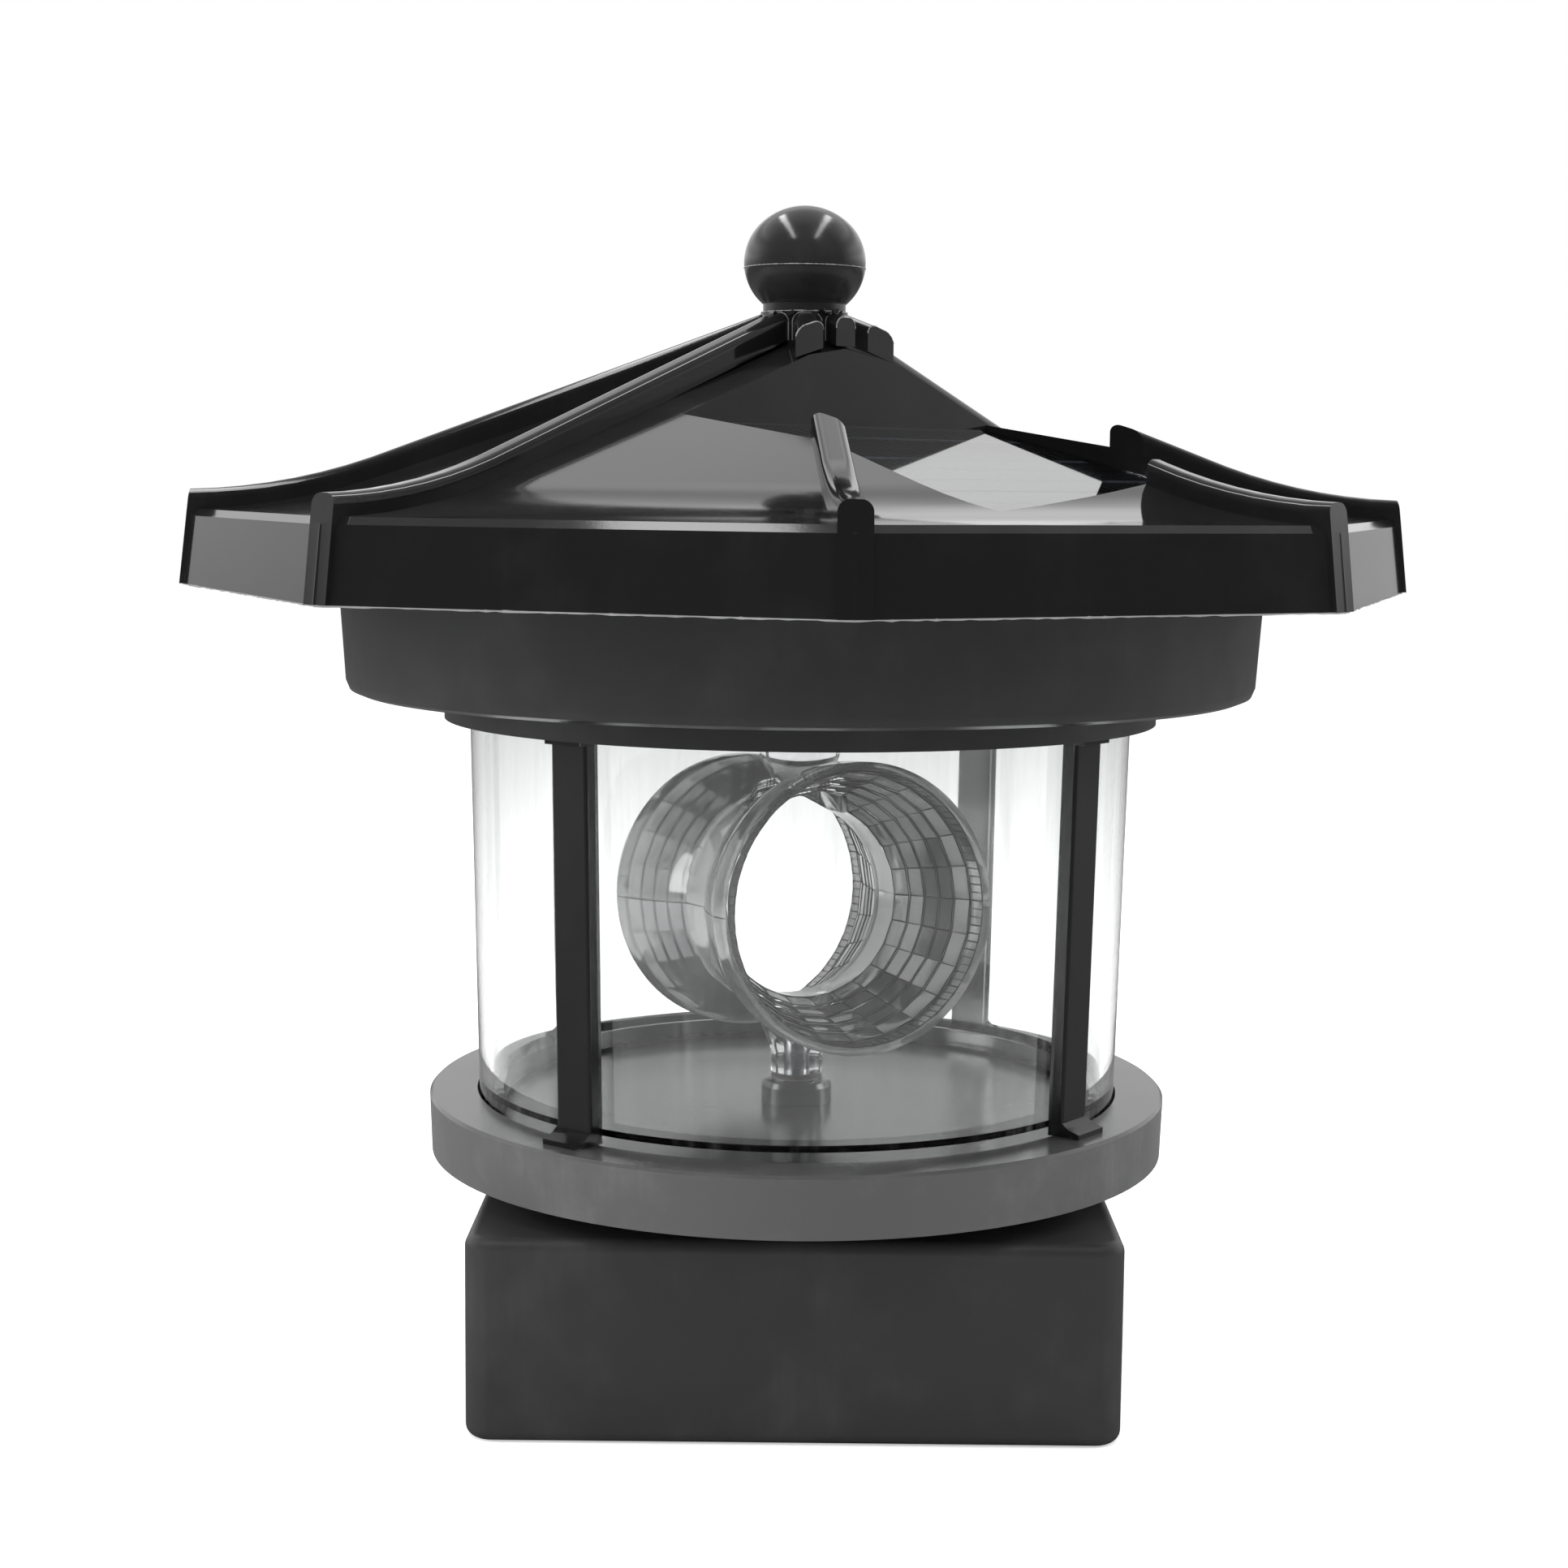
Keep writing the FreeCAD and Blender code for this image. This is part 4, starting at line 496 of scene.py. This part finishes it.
# Polished pieces: a welded copy of the node, shaded smooth up to its sharp edges (sharp in degrees).
polishedPieces = {
    "roofShell": {"node": "roof_shell", "finish": "polishedRoofAbs", "slot": "roof_plastic",
                  "body": "body", "sharp": 28},
    "ballFinial": {"node": "ball_finial", "finish": "satinBallAbs", "slot": "ball_plastic",
                   "body": "body", "sharp": 40},
    "topCup": {"node": "top_cup", "finish": "cupAbs", "slot": "cup_plastic",
               "body": "body", "sharp": 28},
    "galleryDisc": {"node": "gallery_disc", "finish": "galleryAbs", "slot": "gallery_plastic",
                    "body": "body", "sharp": 28},
    "upperCase": {"node": "upper_case", "finish": "satinCaseAbs", "slot": "case_plastic",
                  "body": "body", "sharp": 28},
    "lowerCover": {"node": "lower_cover", "finish": "satinCaseAbs", "slot": "case_plastic",
                   "body": "body", "sharp": 28},
    "postFrontLeft": {"node": "post_front_left", "finish": "polishedPostAbs", "slot": "post_plastic",
                      "body": "body", "sharp": 28},
    "postFrontRight": {"node": "post_front_right", "finish": "polishedPostAbs", "slot": "post_plastic",
                       "body": "body", "sharp": 28},
    "postBackLeft": {"node": "post_back_left", "finish": "polishedPostAbs", "slot": "post_plastic",
                     "body": "body", "sharp": 28},
    "postBackRight": {"node": "post_back_right", "finish": "polishedPostAbs", "slot": "post_plastic",
                      "body": "body", "sharp": 28},
    "rotorLens": {"node": "rotor_lens", "finish": "lensStyrene", "slot": "clear_lens",
                  "body": "rotor", "sharp": 5},
    "ledLamp": {"node": "led_lamp", "finish": "clearLamp", "slot": "clear_lamp",
                "body": "body", "sharp": 30},
    "panelResin": {"node": "panel_resin", "finish": "castResin", "slot": "clear_resin",
                   "body": "body", "sharp": 30},
}


def plainMesh(piece, name):  # the piece with its modifiers worked in, as a mesh of its own
    evaluated = piece.evaluated_get(bpy.context.evaluated_depsgraph_get())
    mesh = bpy.data.meshes.new_from_object(evaluated)
    mesh.name = name
    return mesh


def settle(piece, name):  # swaps live modifiers for their plain result
    mesh = plainMesh(piece, name)
    piece.modifiers.clear()
    piece.data = mesh


def facesByEdge(mesh):
    beside = {}
    for face in mesh.polygons:
        for pair in face.edge_keys:
            beside.setdefault(pair, []).append(face.index)
    return beside


def widestFlats(mesh, beside, facing):  # joins level neighbours: per face its flat, and per flat its area
    flat = list(range(len(mesh.polygons)))

    def first(index):
        while flat[index] != index:
            flat[index] = flat[flat[index]]
            index = flat[index]
        return index

    for pair in beside.values():
        if len(pair) == 2 and facing[pair[0]].dot(facing[pair[1]]) > 0.99998:  # within 0.4 degrees
            flat[first(pair[0])] = first(pair[1])
    flat = [first(index) for index in flat]
    area = {}
    for face in mesh.polygons:
        area[flat[face.index]] = area.get(flat[face.index], 0.0) + face.area
    return flat, area


# Normals that tilt near a rounded edge break a flat face's reflections, so each corner takes the mean normal
# of the flats that meet there with no sharp edge between, weighed by their area.
def favourFlats(mesh, sharp):
    beside = facesByEdge(mesh)
    facing = [face.normal.copy() for face in mesh.polygons]
    flat, area = widestFlats(mesh, beside, facing)
    level = math.cos(math.radians(sharp))
    fans, around = {}, {}
    for face in mesh.polygons:
        for corner, vertex in zip(face.loop_indices, face.vertices):
            around.setdefault(vertex, {})[face.index] = corner
    for pair, sides in beside.items():
        if len(sides) == 2 and facing[sides[0]].dot(facing[sides[1]]) > level:
            for vertex in pair:
                fans.setdefault(vertex, []).append(sides)
    normals = [None] * len(mesh.loops)
    for vertex, corners in around.items():
        fan = {index: index for index in corners}
        for one, other in fans.get(vertex, ()):
            old, new = fan[one], fan[other]
            if old != new:
                fan = {index: new if key == old else key for index, key in fan.items()}
        for key in set(fan.values()):
            members = [index for index in corners if fan[index] == key]
            mean = Vector()
            for wide, index in {flat[index]: index for index in members}.items():
                mean += facing[index] * area[wide]
            mean = tuple(mean.normalized())
            for index in members:
                normals[corners[index]] = mean
    mesh.normals_split_custom_set(normals)


def polishedCopy(name, piece):
    mesh = nodes[piece["node"]].data.copy()
    mesh.materials.clear()
    mesh.materials.append(finish[piece["finish"]])
    copy = bpy.data.objects.new(name, mesh)
    bpy.context.collection.objects.link(copy)
    weld = copy.modifiers.new("weld", "WELD")
    weld.merge_threshold = 0.002 * mm
    settle(copy, name)
    copy.data.polygons.foreach_set("use_smooth", [True] * len(copy.data.polygons))
    copy.data.set_sharp_from_angle(angle=math.radians(piece["sharp"]))
    favourFlats(copy.data, piece["sharp"])
    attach(copy, piece["body"])
    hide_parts(piece["node"])
    return copy


polished = {name: polishedCopy(name, piece) for name, piece in polishedPieces.items()}
print("polished pieces:", len(polished))


# The lens bends what lies behind it, so its turned faces get true normals.
lens = {
    "height": 56.6,       # mm, the middle of the spool
    "turn": 26,           # degrees about the shaft
    "lean": 86.3,         # degrees from upright
    "boreReach": 12.1,    # mm, the bore lies within it
    "facetReach": 16.45,  # mm, the inner facets lie between the bore and it
    "middleHalf": 1.0,    # mm, and no nearer the spool's middle
    "neckReach": 6,       # mm, the neck lies within it
    "neckTop": 43,        # mm
}
lensPlace = (Matrix.Translation((0, 0, lens["height"] * mm))
             @ Matrix.Rotation(math.radians(lens["turn"]), 4, "Z")
             @ Matrix.Rotation(math.radians(lens["lean"]), 4, "X"))


def faceSides(mesh, place):  # per face, about place's Z axis: +1 facing out, -1 facing in, 0 for the rest
    back = place.inverted()
    sides = []
    for face in mesh.polygons:
        spot, facing = back @ face.center, back.to_3x3() @ face.normal
        flat = Vector((spot.x, spot.y)).normalized()
        away = flat.x * facing.x + flat.y * facing.y
        across = abs(flat.x * facing.y - flat.y * facing.x)
        turned = across < 0.06 and abs(away) > 0.2  # square to its turn, and no end face
        sides.append(math.copysign(1, away) if turned else 0)
    return sides


def roundNormals(mesh, place, sides):  # faces with a side get the true normals of a turned surface
    back = place.inverted()
    rise = {}
    for face in mesh.polygons:
        if sides[face.index]:
            facing = back.to_3x3() @ face.normal
            for vertex in face.vertices:
                rise.setdefault((vertex, sides[face.index]), []).append((facing.z, face.area))
    normals = [tuple(corner.vector) for corner in mesh.corner_normals]
    for face in mesh.polygons:
        side = sides[face.index]
        for corner, vertex in zip(face.loop_indices, face.vertices):
            if side:
                shares = rise[vertex, side]
                lean = sum(z * area for z, area in shares) / sum(area for z, area in shares)
                spot = back @ mesh.vertices[vertex].co
                flat = Vector((spot.x, spot.y)).normalized() * side * math.sqrt(max(0.0, 1 - lean * lean))
                normals[corner] = tuple(place.to_3x3() @ Vector((flat.x, flat.y, lean)))
    mesh.normals_split_custom_set(normals)


lensMesh = polished["rotorLens"].data
lensSides = faceSides(lensMesh, lensPlace)
skinSides = [max(side, 0) for side in lensSides]
skinMark = lensMesh.attributes.new("outerSkin", "FLOAT", "FACE")
skinMark.data.foreach_set("value", [float(side) for side in skinSides])


def inBore(face):
    return math.hypot(*(lensPlace.inverted() @ face.center).xy) < lens["boreReach"] * mm


def inNeck(face):
    return face.center.z < lens["neckTop"] * mm and math.hypot(*face.center.xy) < lens["neckReach"] * mm


lensFaces = lensMesh.polygons
skinAndBore = [side if side > 0 or inBore(face) else 0 for side, face in zip(lensSides, lensFaces)]
roundNormals(lensMesh, lensPlace, skinAndBore)
neckSides = [side if inNeck(face) else 0 for side, face in zip(faceSides(lensMesh, Matrix()), lensFaces)]
roundNormals(lensMesh, Matrix(), neckSides)
print("lens rounded:", len(lensFaces), "faces")


# The window is turned finely, so that what is seen through it doesn't break at its facets. Its four shallow
# channels lie behind the posts and are left out here.
windowTube = {
    "node": "window_tube", "finish": "clearWindow", "turns": 256, "sharp": 28,
    "profile": [  # radius and height in mm, outside up, inside down
        (39.3, 31.5), (39.47, 39.7), (39.64, 47.9), (39.81, 56.1), (39.98, 64.3), (40.16, 72.5), (40.33, 80.7),
        (38.68, 80.7), (38.49, 69.2), (38.31, 57.8), (38.12, 46.3), (37.75, 34.9), (36.5, 33.9), (36.5, 31.5)],
}


def turnedPiece(name, look):
    turns, profile = look["turns"], look["profile"]
    angles = [2 * math.pi * i / turns for i in range(turns)]
    points = [(radius * math.cos(angle) * mm, radius * math.sin(angle) * mm, height * mm)
              for angle in angles for radius, height in profile]
    count = len(profile)
    faces = []
    for i in range(turns):
        here, past = i * count, (i + 1) % turns * count
        faces += [(here + j, past + j, past + (j + 1) % count, here + (j + 1) % count) for j in range(count)]
    mesh = bpy.data.meshes.new(name)
    mesh.from_pydata(points, [], faces)
    mesh.polygons.foreach_set("use_smooth", [True] * len(mesh.polygons))
    mesh.set_sharp_from_angle(angle=math.radians(look["sharp"]))
    mesh.materials.append(finish[look["finish"]])
    piece = bpy.data.objects.new(name, mesh)
    bpy.context.collection.objects.link(piece)
    return piece


window = turnedPiece("windowTube", windowTube)
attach(window, "body")
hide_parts(windowTube["node"])
print("window turned")


# Small pieces are grown by Geometry Nodes: swept lines and scattered grains.
def startGroup(name, inputs):
    group = bpy.data.node_groups.new(name, "GeometryNodeTree")
    for label, kind in inputs.items():
        group.interface.new_socket(label, in_out="INPUT", socket_type="NodeSocket" + kind)
    group.interface.new_socket("Geometry", in_out="OUTPUT", socket_type="NodeSocketGeometry")
    return group, addNode(group, "NodeGroupInput").outputs


def endGroup(group, geometry, material):
    whole = addNode(group, "GeometryNodeRealizeInstances", {}, {"Geometry": geometry})
    dressed = addNode(group, "GeometryNodeSetMaterial", {},
                      {"Geometry": whole.outputs["Geometry"], "Material": material})
    addNode(group, "NodeGroupOutput", {}, {0: dressed.outputs["Geometry"]})
    return group


def sweepGroup():  # a round bead of uneven thickness along every edge
    group, given = startGroup("sweep", {
        "Geometry": "Geometry", "Thick": "Float", "Uneven": "Float", "Seed": "Int", "Material": "Material"})
    lines = addNode(group, "GeometryNodeMeshToCurve", {}, {"Mesh": given["Geometry"]})
    less = addNode(group, "ShaderNodeMath", {"operation": "SUBTRACT", 0: 1.0}, {1: given["Uneven"]})
    more = addNode(group, "ShaderNodeMath", {"operation": "ADD", 0: 1.0}, {1: given["Uneven"]})
    size = addNode(group, "FunctionNodeRandomValue", {"data_type": "FLOAT"},
                   {2: less.outputs["Value"], 3: more.outputs["Value"], 8: given["Seed"]})
    section = addNode(group, "GeometryNodeCurvePrimitiveCircle", {"Resolution": 6}, {4: given["Thick"]})
    bead = addNode(group, "GeometryNodeCurveToMesh", {"Fill Caps": True},
                   {"Curve": lines.outputs["Curve"], "Profile Curve": section.outputs["Curve"],
                    "Scale": size.outputs[1]})
    return endGroup(group, bead.outputs["Mesh"], given["Material"])


def scatterGroup(name, kind, settings):  # a block or grain on every point, turned and sized a little at random
    group, given = startGroup(name, {
        "Geometry": "Geometry", "Size": "Vector", "Facing": "Vector", "Spin": "Vector", "Smallest": "Float",
        "Largest": "Float", "Seed": "Int", "Material": "Material"})
    shape = addNode(group, kind, settings)
    back = addNode(group, "ShaderNodeVectorMath", {"operation": "SCALE", "Scale": -1.0}, {0: given["Spin"]})
    spin = addNode(group, "FunctionNodeRandomValue", {"data_type": "FLOAT_VECTOR"},
                   {0: back.outputs["Vector"], 1: given["Spin"], 8: given["Seed"]})
    facing = addNode(group, "ShaderNodeVectorMath", {"operation": "ADD"},
                     {0: given["Facing"], 1: spin.outputs[0]})
    share = addNode(group, "FunctionNodeRandomValue", {"data_type": "FLOAT"},
                    {2: given["Smallest"], 3: given["Largest"], 8: given["Seed"]})
    size = addNode(group, "ShaderNodeVectorMath", {"operation": "SCALE"},
                   {0: given["Size"], "Scale": share.outputs[1]})
    spread = addNode(group, "GeometryNodeInstanceOnPoints", {},
                     {"Points": given["Geometry"], "Instance": shape.outputs["Mesh"],
                      "Rotation": facing.outputs["Vector"], "Scale": size.outputs["Vector"]})
    return endGroup(group, spread.outputs["Instances"], given["Material"])


groups = {
    "sweep": sweepGroup(),
    "block": scatterGroup("scatterBlocks", "GeometryNodeMeshCube", {"Size": (1, 1, 1)}),
    "grain": scatterGroup("scatterGrains", "GeometryNodeMeshUVSphere",
                          {"Segments": 14, "Rings": 8, "Radius": 0.5}),
}


def lineMesh(name, lines):  # edges only: lists of points in mm, closed where the last point is the first again
    points, edges = [], []
    for line in lines:
        closed = line[0] == line[-1]
        first, count = len(points), len(line) - closed
        points += [tuple(c * mm for c in point) for point in line[:count]]
        edges += [(first + i, first + (i + 1) % count) for i in range(count if closed else count - 1)]
    mesh = bpy.data.meshes.new(name)
    mesh.from_pydata(points, edges, [])
    return mesh


def pointMesh(name, points):
    mesh = bpy.data.meshes.new(name)
    mesh.from_pydata([tuple(c * mm for c in point) for point in points], [], [])
    return mesh


def grow(name, piece):
    mesh = lineMesh(name, piece["lines"]) if "lines" in piece else pointMesh(name, piece["points"])
    grown = bpy.data.objects.new(name, mesh)
    bpy.context.collection.objects.link(grown)
    modifier = grown.modifiers.new("grow", "NODES")
    group = modifier.node_group = groups[piece["group"]]
    values = dict(piece["values"], Material=finish[piece["finish"]])
    for socket in group.interface.items_tree:
        if socket.in_out == "INPUT" and socket.name in values:
            modifier[socket.identifier] = values[socket.name]
    settle(grown, name)
    grown.data.polygons.foreach_set("use_smooth", [piece["group"] != "block"] * len(grown.data.polygons))
    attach(grown, piece["body"])


def ringLine(radius, height, count, turn=0.0):
    angles = [math.radians(turn) + 2 * math.pi * i / count for i in range(count)]
    line = [(radius * math.cos(angle), radius * math.sin(angle), height) for angle in angles]
    return line + line[:1]


def eaveLine(radius, height, turn, each):  # an eight-sided line with points along its sides
    corners = [Vector(point) for point in ringLine(radius, height, 8, turn)]
    line = [tuple(a.lerp(b, i / each)) for a, b in zip(corners, corners[1:]) for i in range(each)]
    return line + line[:1]


# The lens's skin along its axis, in mm: a straight waist, then a flare that bulges a little.
spool = {"reach": 16.8, "step": 0.8, "waist": 13.9, "waistHalf": 2.5,
         "flareLong": 11.3, "flare": 3.6, "bulge": 1.4}


def lensLine(side):  # along one side of the spool, where the mould's halves met
    line = []
    for i in range(round(2 * spool["reach"] / spool["step"]) + 1):
        height = -spool["reach"] + spool["step"] * i
        share = min(1.0, max(0.0, (abs(height) - spool["waistHalf"]) / spool["flareLong"]))
        radius = spool["waist"] + spool["flare"] * share + spool["bulge"] * share * (1 - share)
        spot = lensPlace.to_3x3() @ Vector((side * radius, 0, height))
        line.append(tuple(spot + Vector((0, 0, lens["height"]))))
    return line


def edgeLines(mesh, least, wanted):  # edges in mm between faces that turn by more than least degrees
    lines = []
    for pair, sides in facesByEdge(mesh).items():
        if len(sides) != 2:
            continue
        ends = [mesh.vertices[vertex].co / mm for vertex in pair]
        one, other = (mesh.polygons[index] for index in sides)
        if one.normal.angle(other.normal) > math.radians(least) and wanted(ends, (one, other)):
            lines.append([tuple(end) for end in ends])
    return lines


def innerFacet(ends, faces):  # between the lens's inner facets
    spots = [lensPlace.inverted() @ (end * mm) / mm for end in ends]
    reach = [math.hypot(spot.x, spot.y) for spot in spots]
    flared = lens["boreReach"] < min(reach) and max(reach) < lens["facetReach"]
    offMiddle = min(abs(spot.z) for spot in spots) > lens["middleHalf"]
    return flared and offMiddle and not any(skinSides[face.index] for face in faces)


roofTop = {"inside": 5.0, "outside": 12, "low": 124.5}  # mm from the axis and up: where the ridge beads meet


def beadRoot(ends, faces):
    reach = [math.hypot(end.x, end.y) for end in ends]
    upwards = min(face.normal.z for face in faces) > -0.3  # not inside the roof
    near = roofTop["inside"] < min(reach) and max(reach) < roofTop["outside"]
    return upwards and near and min(end.z for end in ends) > roofTop["low"]


def coilLine(look):  # a helix round the coil's drum, 30 points to a turn
    steps = 30 * look["turns"]
    angles = [math.radians(12 * i) for i in range(steps)]
    return [(look["x"] + look["radius"] * math.cos(angle), look["y"] + look["radius"] * math.sin(angle),
             look["low"] + look["high"] * i / steps) for i, angle in enumerate(angles)]


panelAxes = {"azimuth": math.radians(48.92), "slope": math.radians(13.1)}
fingersPerCell = 26


def panelFrame(look):  # across, up the slope and out of the panel
    azimuth, slope = look["azimuth"], look["slope"]
    across = Vector((math.cos(azimuth), math.sin(azimuth), 0))
    level = Vector((math.sin(azimuth), -math.cos(azimuth), 0))
    down = level * math.cos(slope) - Vector((0, 0, math.sin(slope)))
    return Matrix((across, -down, down.cross(across))).transposed()


def cellRows():  # centre, length and width of each cell strip in the panel's frame, in mm
    turn = panelFrame(panelAxes).inverted()
    spots = [turn @ vertex.co / mm for vertex in nodes["solar_cells"].data.vertices]
    top = max(spot.z for spot in spots)
    edges = sorted({round(spot.y, 2) for spot in spots if spot.z > top - 0.1})
    left, right = min(spot.x for spot in spots), max(spot.x for spot in spots)
    return [((left + right) / 2, (low + high) / 2, top, right - left, high - low)
            for low, high in zip(edges[::2], edges[1::2])]


def panelPoints(count):  # so many points along each cell strip, just above its face
    turn, points = panelFrame(panelAxes), []
    for x, y, z, wide, deep in cellRows():
        steps = [(i + 0.5 - count / 2) * wide / count for i in range(count)]
        points += [tuple(turn @ Vector((x + step, y, z + 0.01))) for step in steps]
    return points


def sized(x, y, z):
    return (x * mm, y * mm, z * mm)


panelTurn = tuple(panelFrame(panelAxes).to_euler())
cellLong, cellWide = cellRows()[0][3:]
coil = {"x": 6.0, "y": -8.0, "radius": 2.65, "low": 87.5, "high": 2.3, "turns": 9}

# Points in mm. Thick is a bead's radius, Uneven how much it varies, Spin the most that a block turns.
smallPieces = {
    # the ball's parting line
    "ballSeam": {"group": "sweep", "lines": [ringLine(radius=7.33, height=133.3, count=220)],
                 "finish": "rubbedEdgeAndHighlightAbs", "slot": "ball_plastic", "body": "body",
                 "values": {"Thick": 0.05 * mm, "Uneven": 0.6, "Seed": 4}},
    # a painted highlight: a pale strip along the roof's lower edge, where light catches its rounded rim
    "skirtHighlightLine": {"group": "sweep", "lines": [eaveLine(radius=74.68, height=94.92, turn=3.92 - 90, each=60)],
                  "finish": "rubbedEdgeAndHighlightAbs", "slot": "roof_plastic", "body": "body",
                  "values": {"Thick": 0.24 * mm, "Uneven": 0.3, "Seed": 7}},
    # the lens's parting lines
    "lensSeam": {"group": "sweep", "lines": [lensLine(-1), lensLine(1)], "finish": "partingLineAndFacetShade",
                 "body": "rotor", "values": {"Thick": 0.05 * mm, "Uneven": 0.3, "Seed": 2}},
    # painted shade: thin dark lines in the corners between the lens's inner facets
    "facetShadeLines": {"group": "sweep", "lines": edgeLines(lensMesh, 3, innerFacet), "finish": "partingLineAndFacetShade",
                  "body": "rotor", "values": {"Thick": 0.075 * mm, "Uneven": 0.5, "Seed": 9}},
    # painted highlights: pale lines on the rims where the ridge beads meet
    "beadRimHighlights": {"group": "sweep", "lines": edgeLines(polished["roofShell"].data, 40, beadRoot),
                 "finish": "rubbedEdgeAndHighlightAbs", "slot": "roof_plastic", "body": "body",
                 "values": {"Thick": 0.07 * mm, "Uneven": 0.6, "Seed": 11}},
    # winding on the coil's drum
    "coilWinding": {"group": "sweep", "lines": [coilLine(coil)], "finish": "enamelCopper", "body": "body",
                    "values": {"Thick": 0.12 * mm, "Uneven": 0.0, "Seed": 1}},
    # the lamp's two legs go on into its clear body
    "lampLegs": {"group": "sweep", "finish": "nickelPlate",
                 "lines": [[(-1.27, 0, 80.5), (-1.27, 0, 76.6), (-0.7, 0, 75.4)],
                           [(1.27, 0, 80.5), (1.27, 0, 77.0), (0.6, 0, 75.9)]], "body": "body",
                 "values": {"Thick": 0.28 * mm, "Uneven": 0.0, "Seed": 1}},
    # ragged flash where the ball's neck was pressed into the roof
    "neckFlash": {"group": "block", "finish": "polishedRoofAbs", "slot": "roof_plastic",
                  "points": [(1.2, -5.35, 127.6), (2.1, -5.05, 127.9), (2.9, -4.7, 127.7), (3.7, -4.1, 128.0),
                             (4.4, -3.2, 127.7), (-1.6, -5.2, 127.7), (-3.4, -4.3, 127.6)], "body": "body",
                  "values": {"Size": sized(0.9, 0.22, 0.5), "Facing": (0.2, 0.1, 0.4), "Spin": (0.6, 0.6, 1.2),
                             "Smallest": 0.5, "Largest": 1.15, "Seed": 5}},
    # solder on the board and on the motor's tags
    "boardSolder": {"group": "grain", "finish": "solderTin",
                    "points": [(-1.27, 0, 86.4), (1.27, 0, 86.4), (9, 9, 86.4), (13.6, -9.6, 86.4)],
                    "body": "body",
                    "values": {"Size": sized(2.0, 2.0, 1.2), "Facing": (0, 0, 0), "Spin": (0.1, 0.1, 1),
                               "Smallest": 0.85, "Largest": 1.1, "Seed": 3}},
    "motorSolder": {"group": "grain", "finish": "solderTin", "points": [(-17.0, 8.9, 5.1), (-9.0, 8.9, 5.1)],
                    "body": "body",
                    "values": {"Size": sized(1.7, 1.3, 1.1), "Facing": (0, 0, 0), "Spin": (0.1, 0.1, 1),
                               "Smallest": 0.9, "Largest": 1.1, "Seed": 8}},
    # small parts on the board
    "boardParts": {"group": "block", "finish": "ceramicBlock", "slot": "chip_plastic",
                   "points": [(-12, 7, 86.66), (-7.5, 7, 86.66), (-3, 8, 86.66), (2.5, 7.5, 86.66),
                              (12.5, 4.5, 86.66), (-13, -8, 86.66)], "body": "body",
                   "values": {"Size": sized(2.0, 1.25, 0.5), "Facing": (0, 0, 0), "Spin": (0, 0, 0.04),
                              "Smallest": 0.85, "Largest": 1.05, "Seed": 6}},
    # silver lines across and along the cells
    "cellFingers": {"group": "block", "finish": "silverPaste", "slot": "solar_cell",
                    "points": panelPoints(fingersPerCell), "body": "body",
                    "values": {"Size": sized(0.12, cellWide - 0.5, 0.02), "Facing": panelTurn,
                               "Spin": (0, 0, 0), "Smallest": 1.0, "Largest": 1.0, "Seed": 1}},
    "cellBars": {"group": "block", "finish": "silverPaste", "slot": "solar_cell", "points": panelPoints(1),
                 "body": "body",
                 "values": {"Size": sized(cellLong - 0.6, 1.1, 0.03), "Facing": panelTurn, "Spin": (0, 0, 0),
                            "Smallest": 1.0, "Largest": 1.0, "Seed": 1}},
}
for pieceName, piece in smallPieces.items():
    grow(pieceName, piece)
print("small pieces:", len(smallPieces))
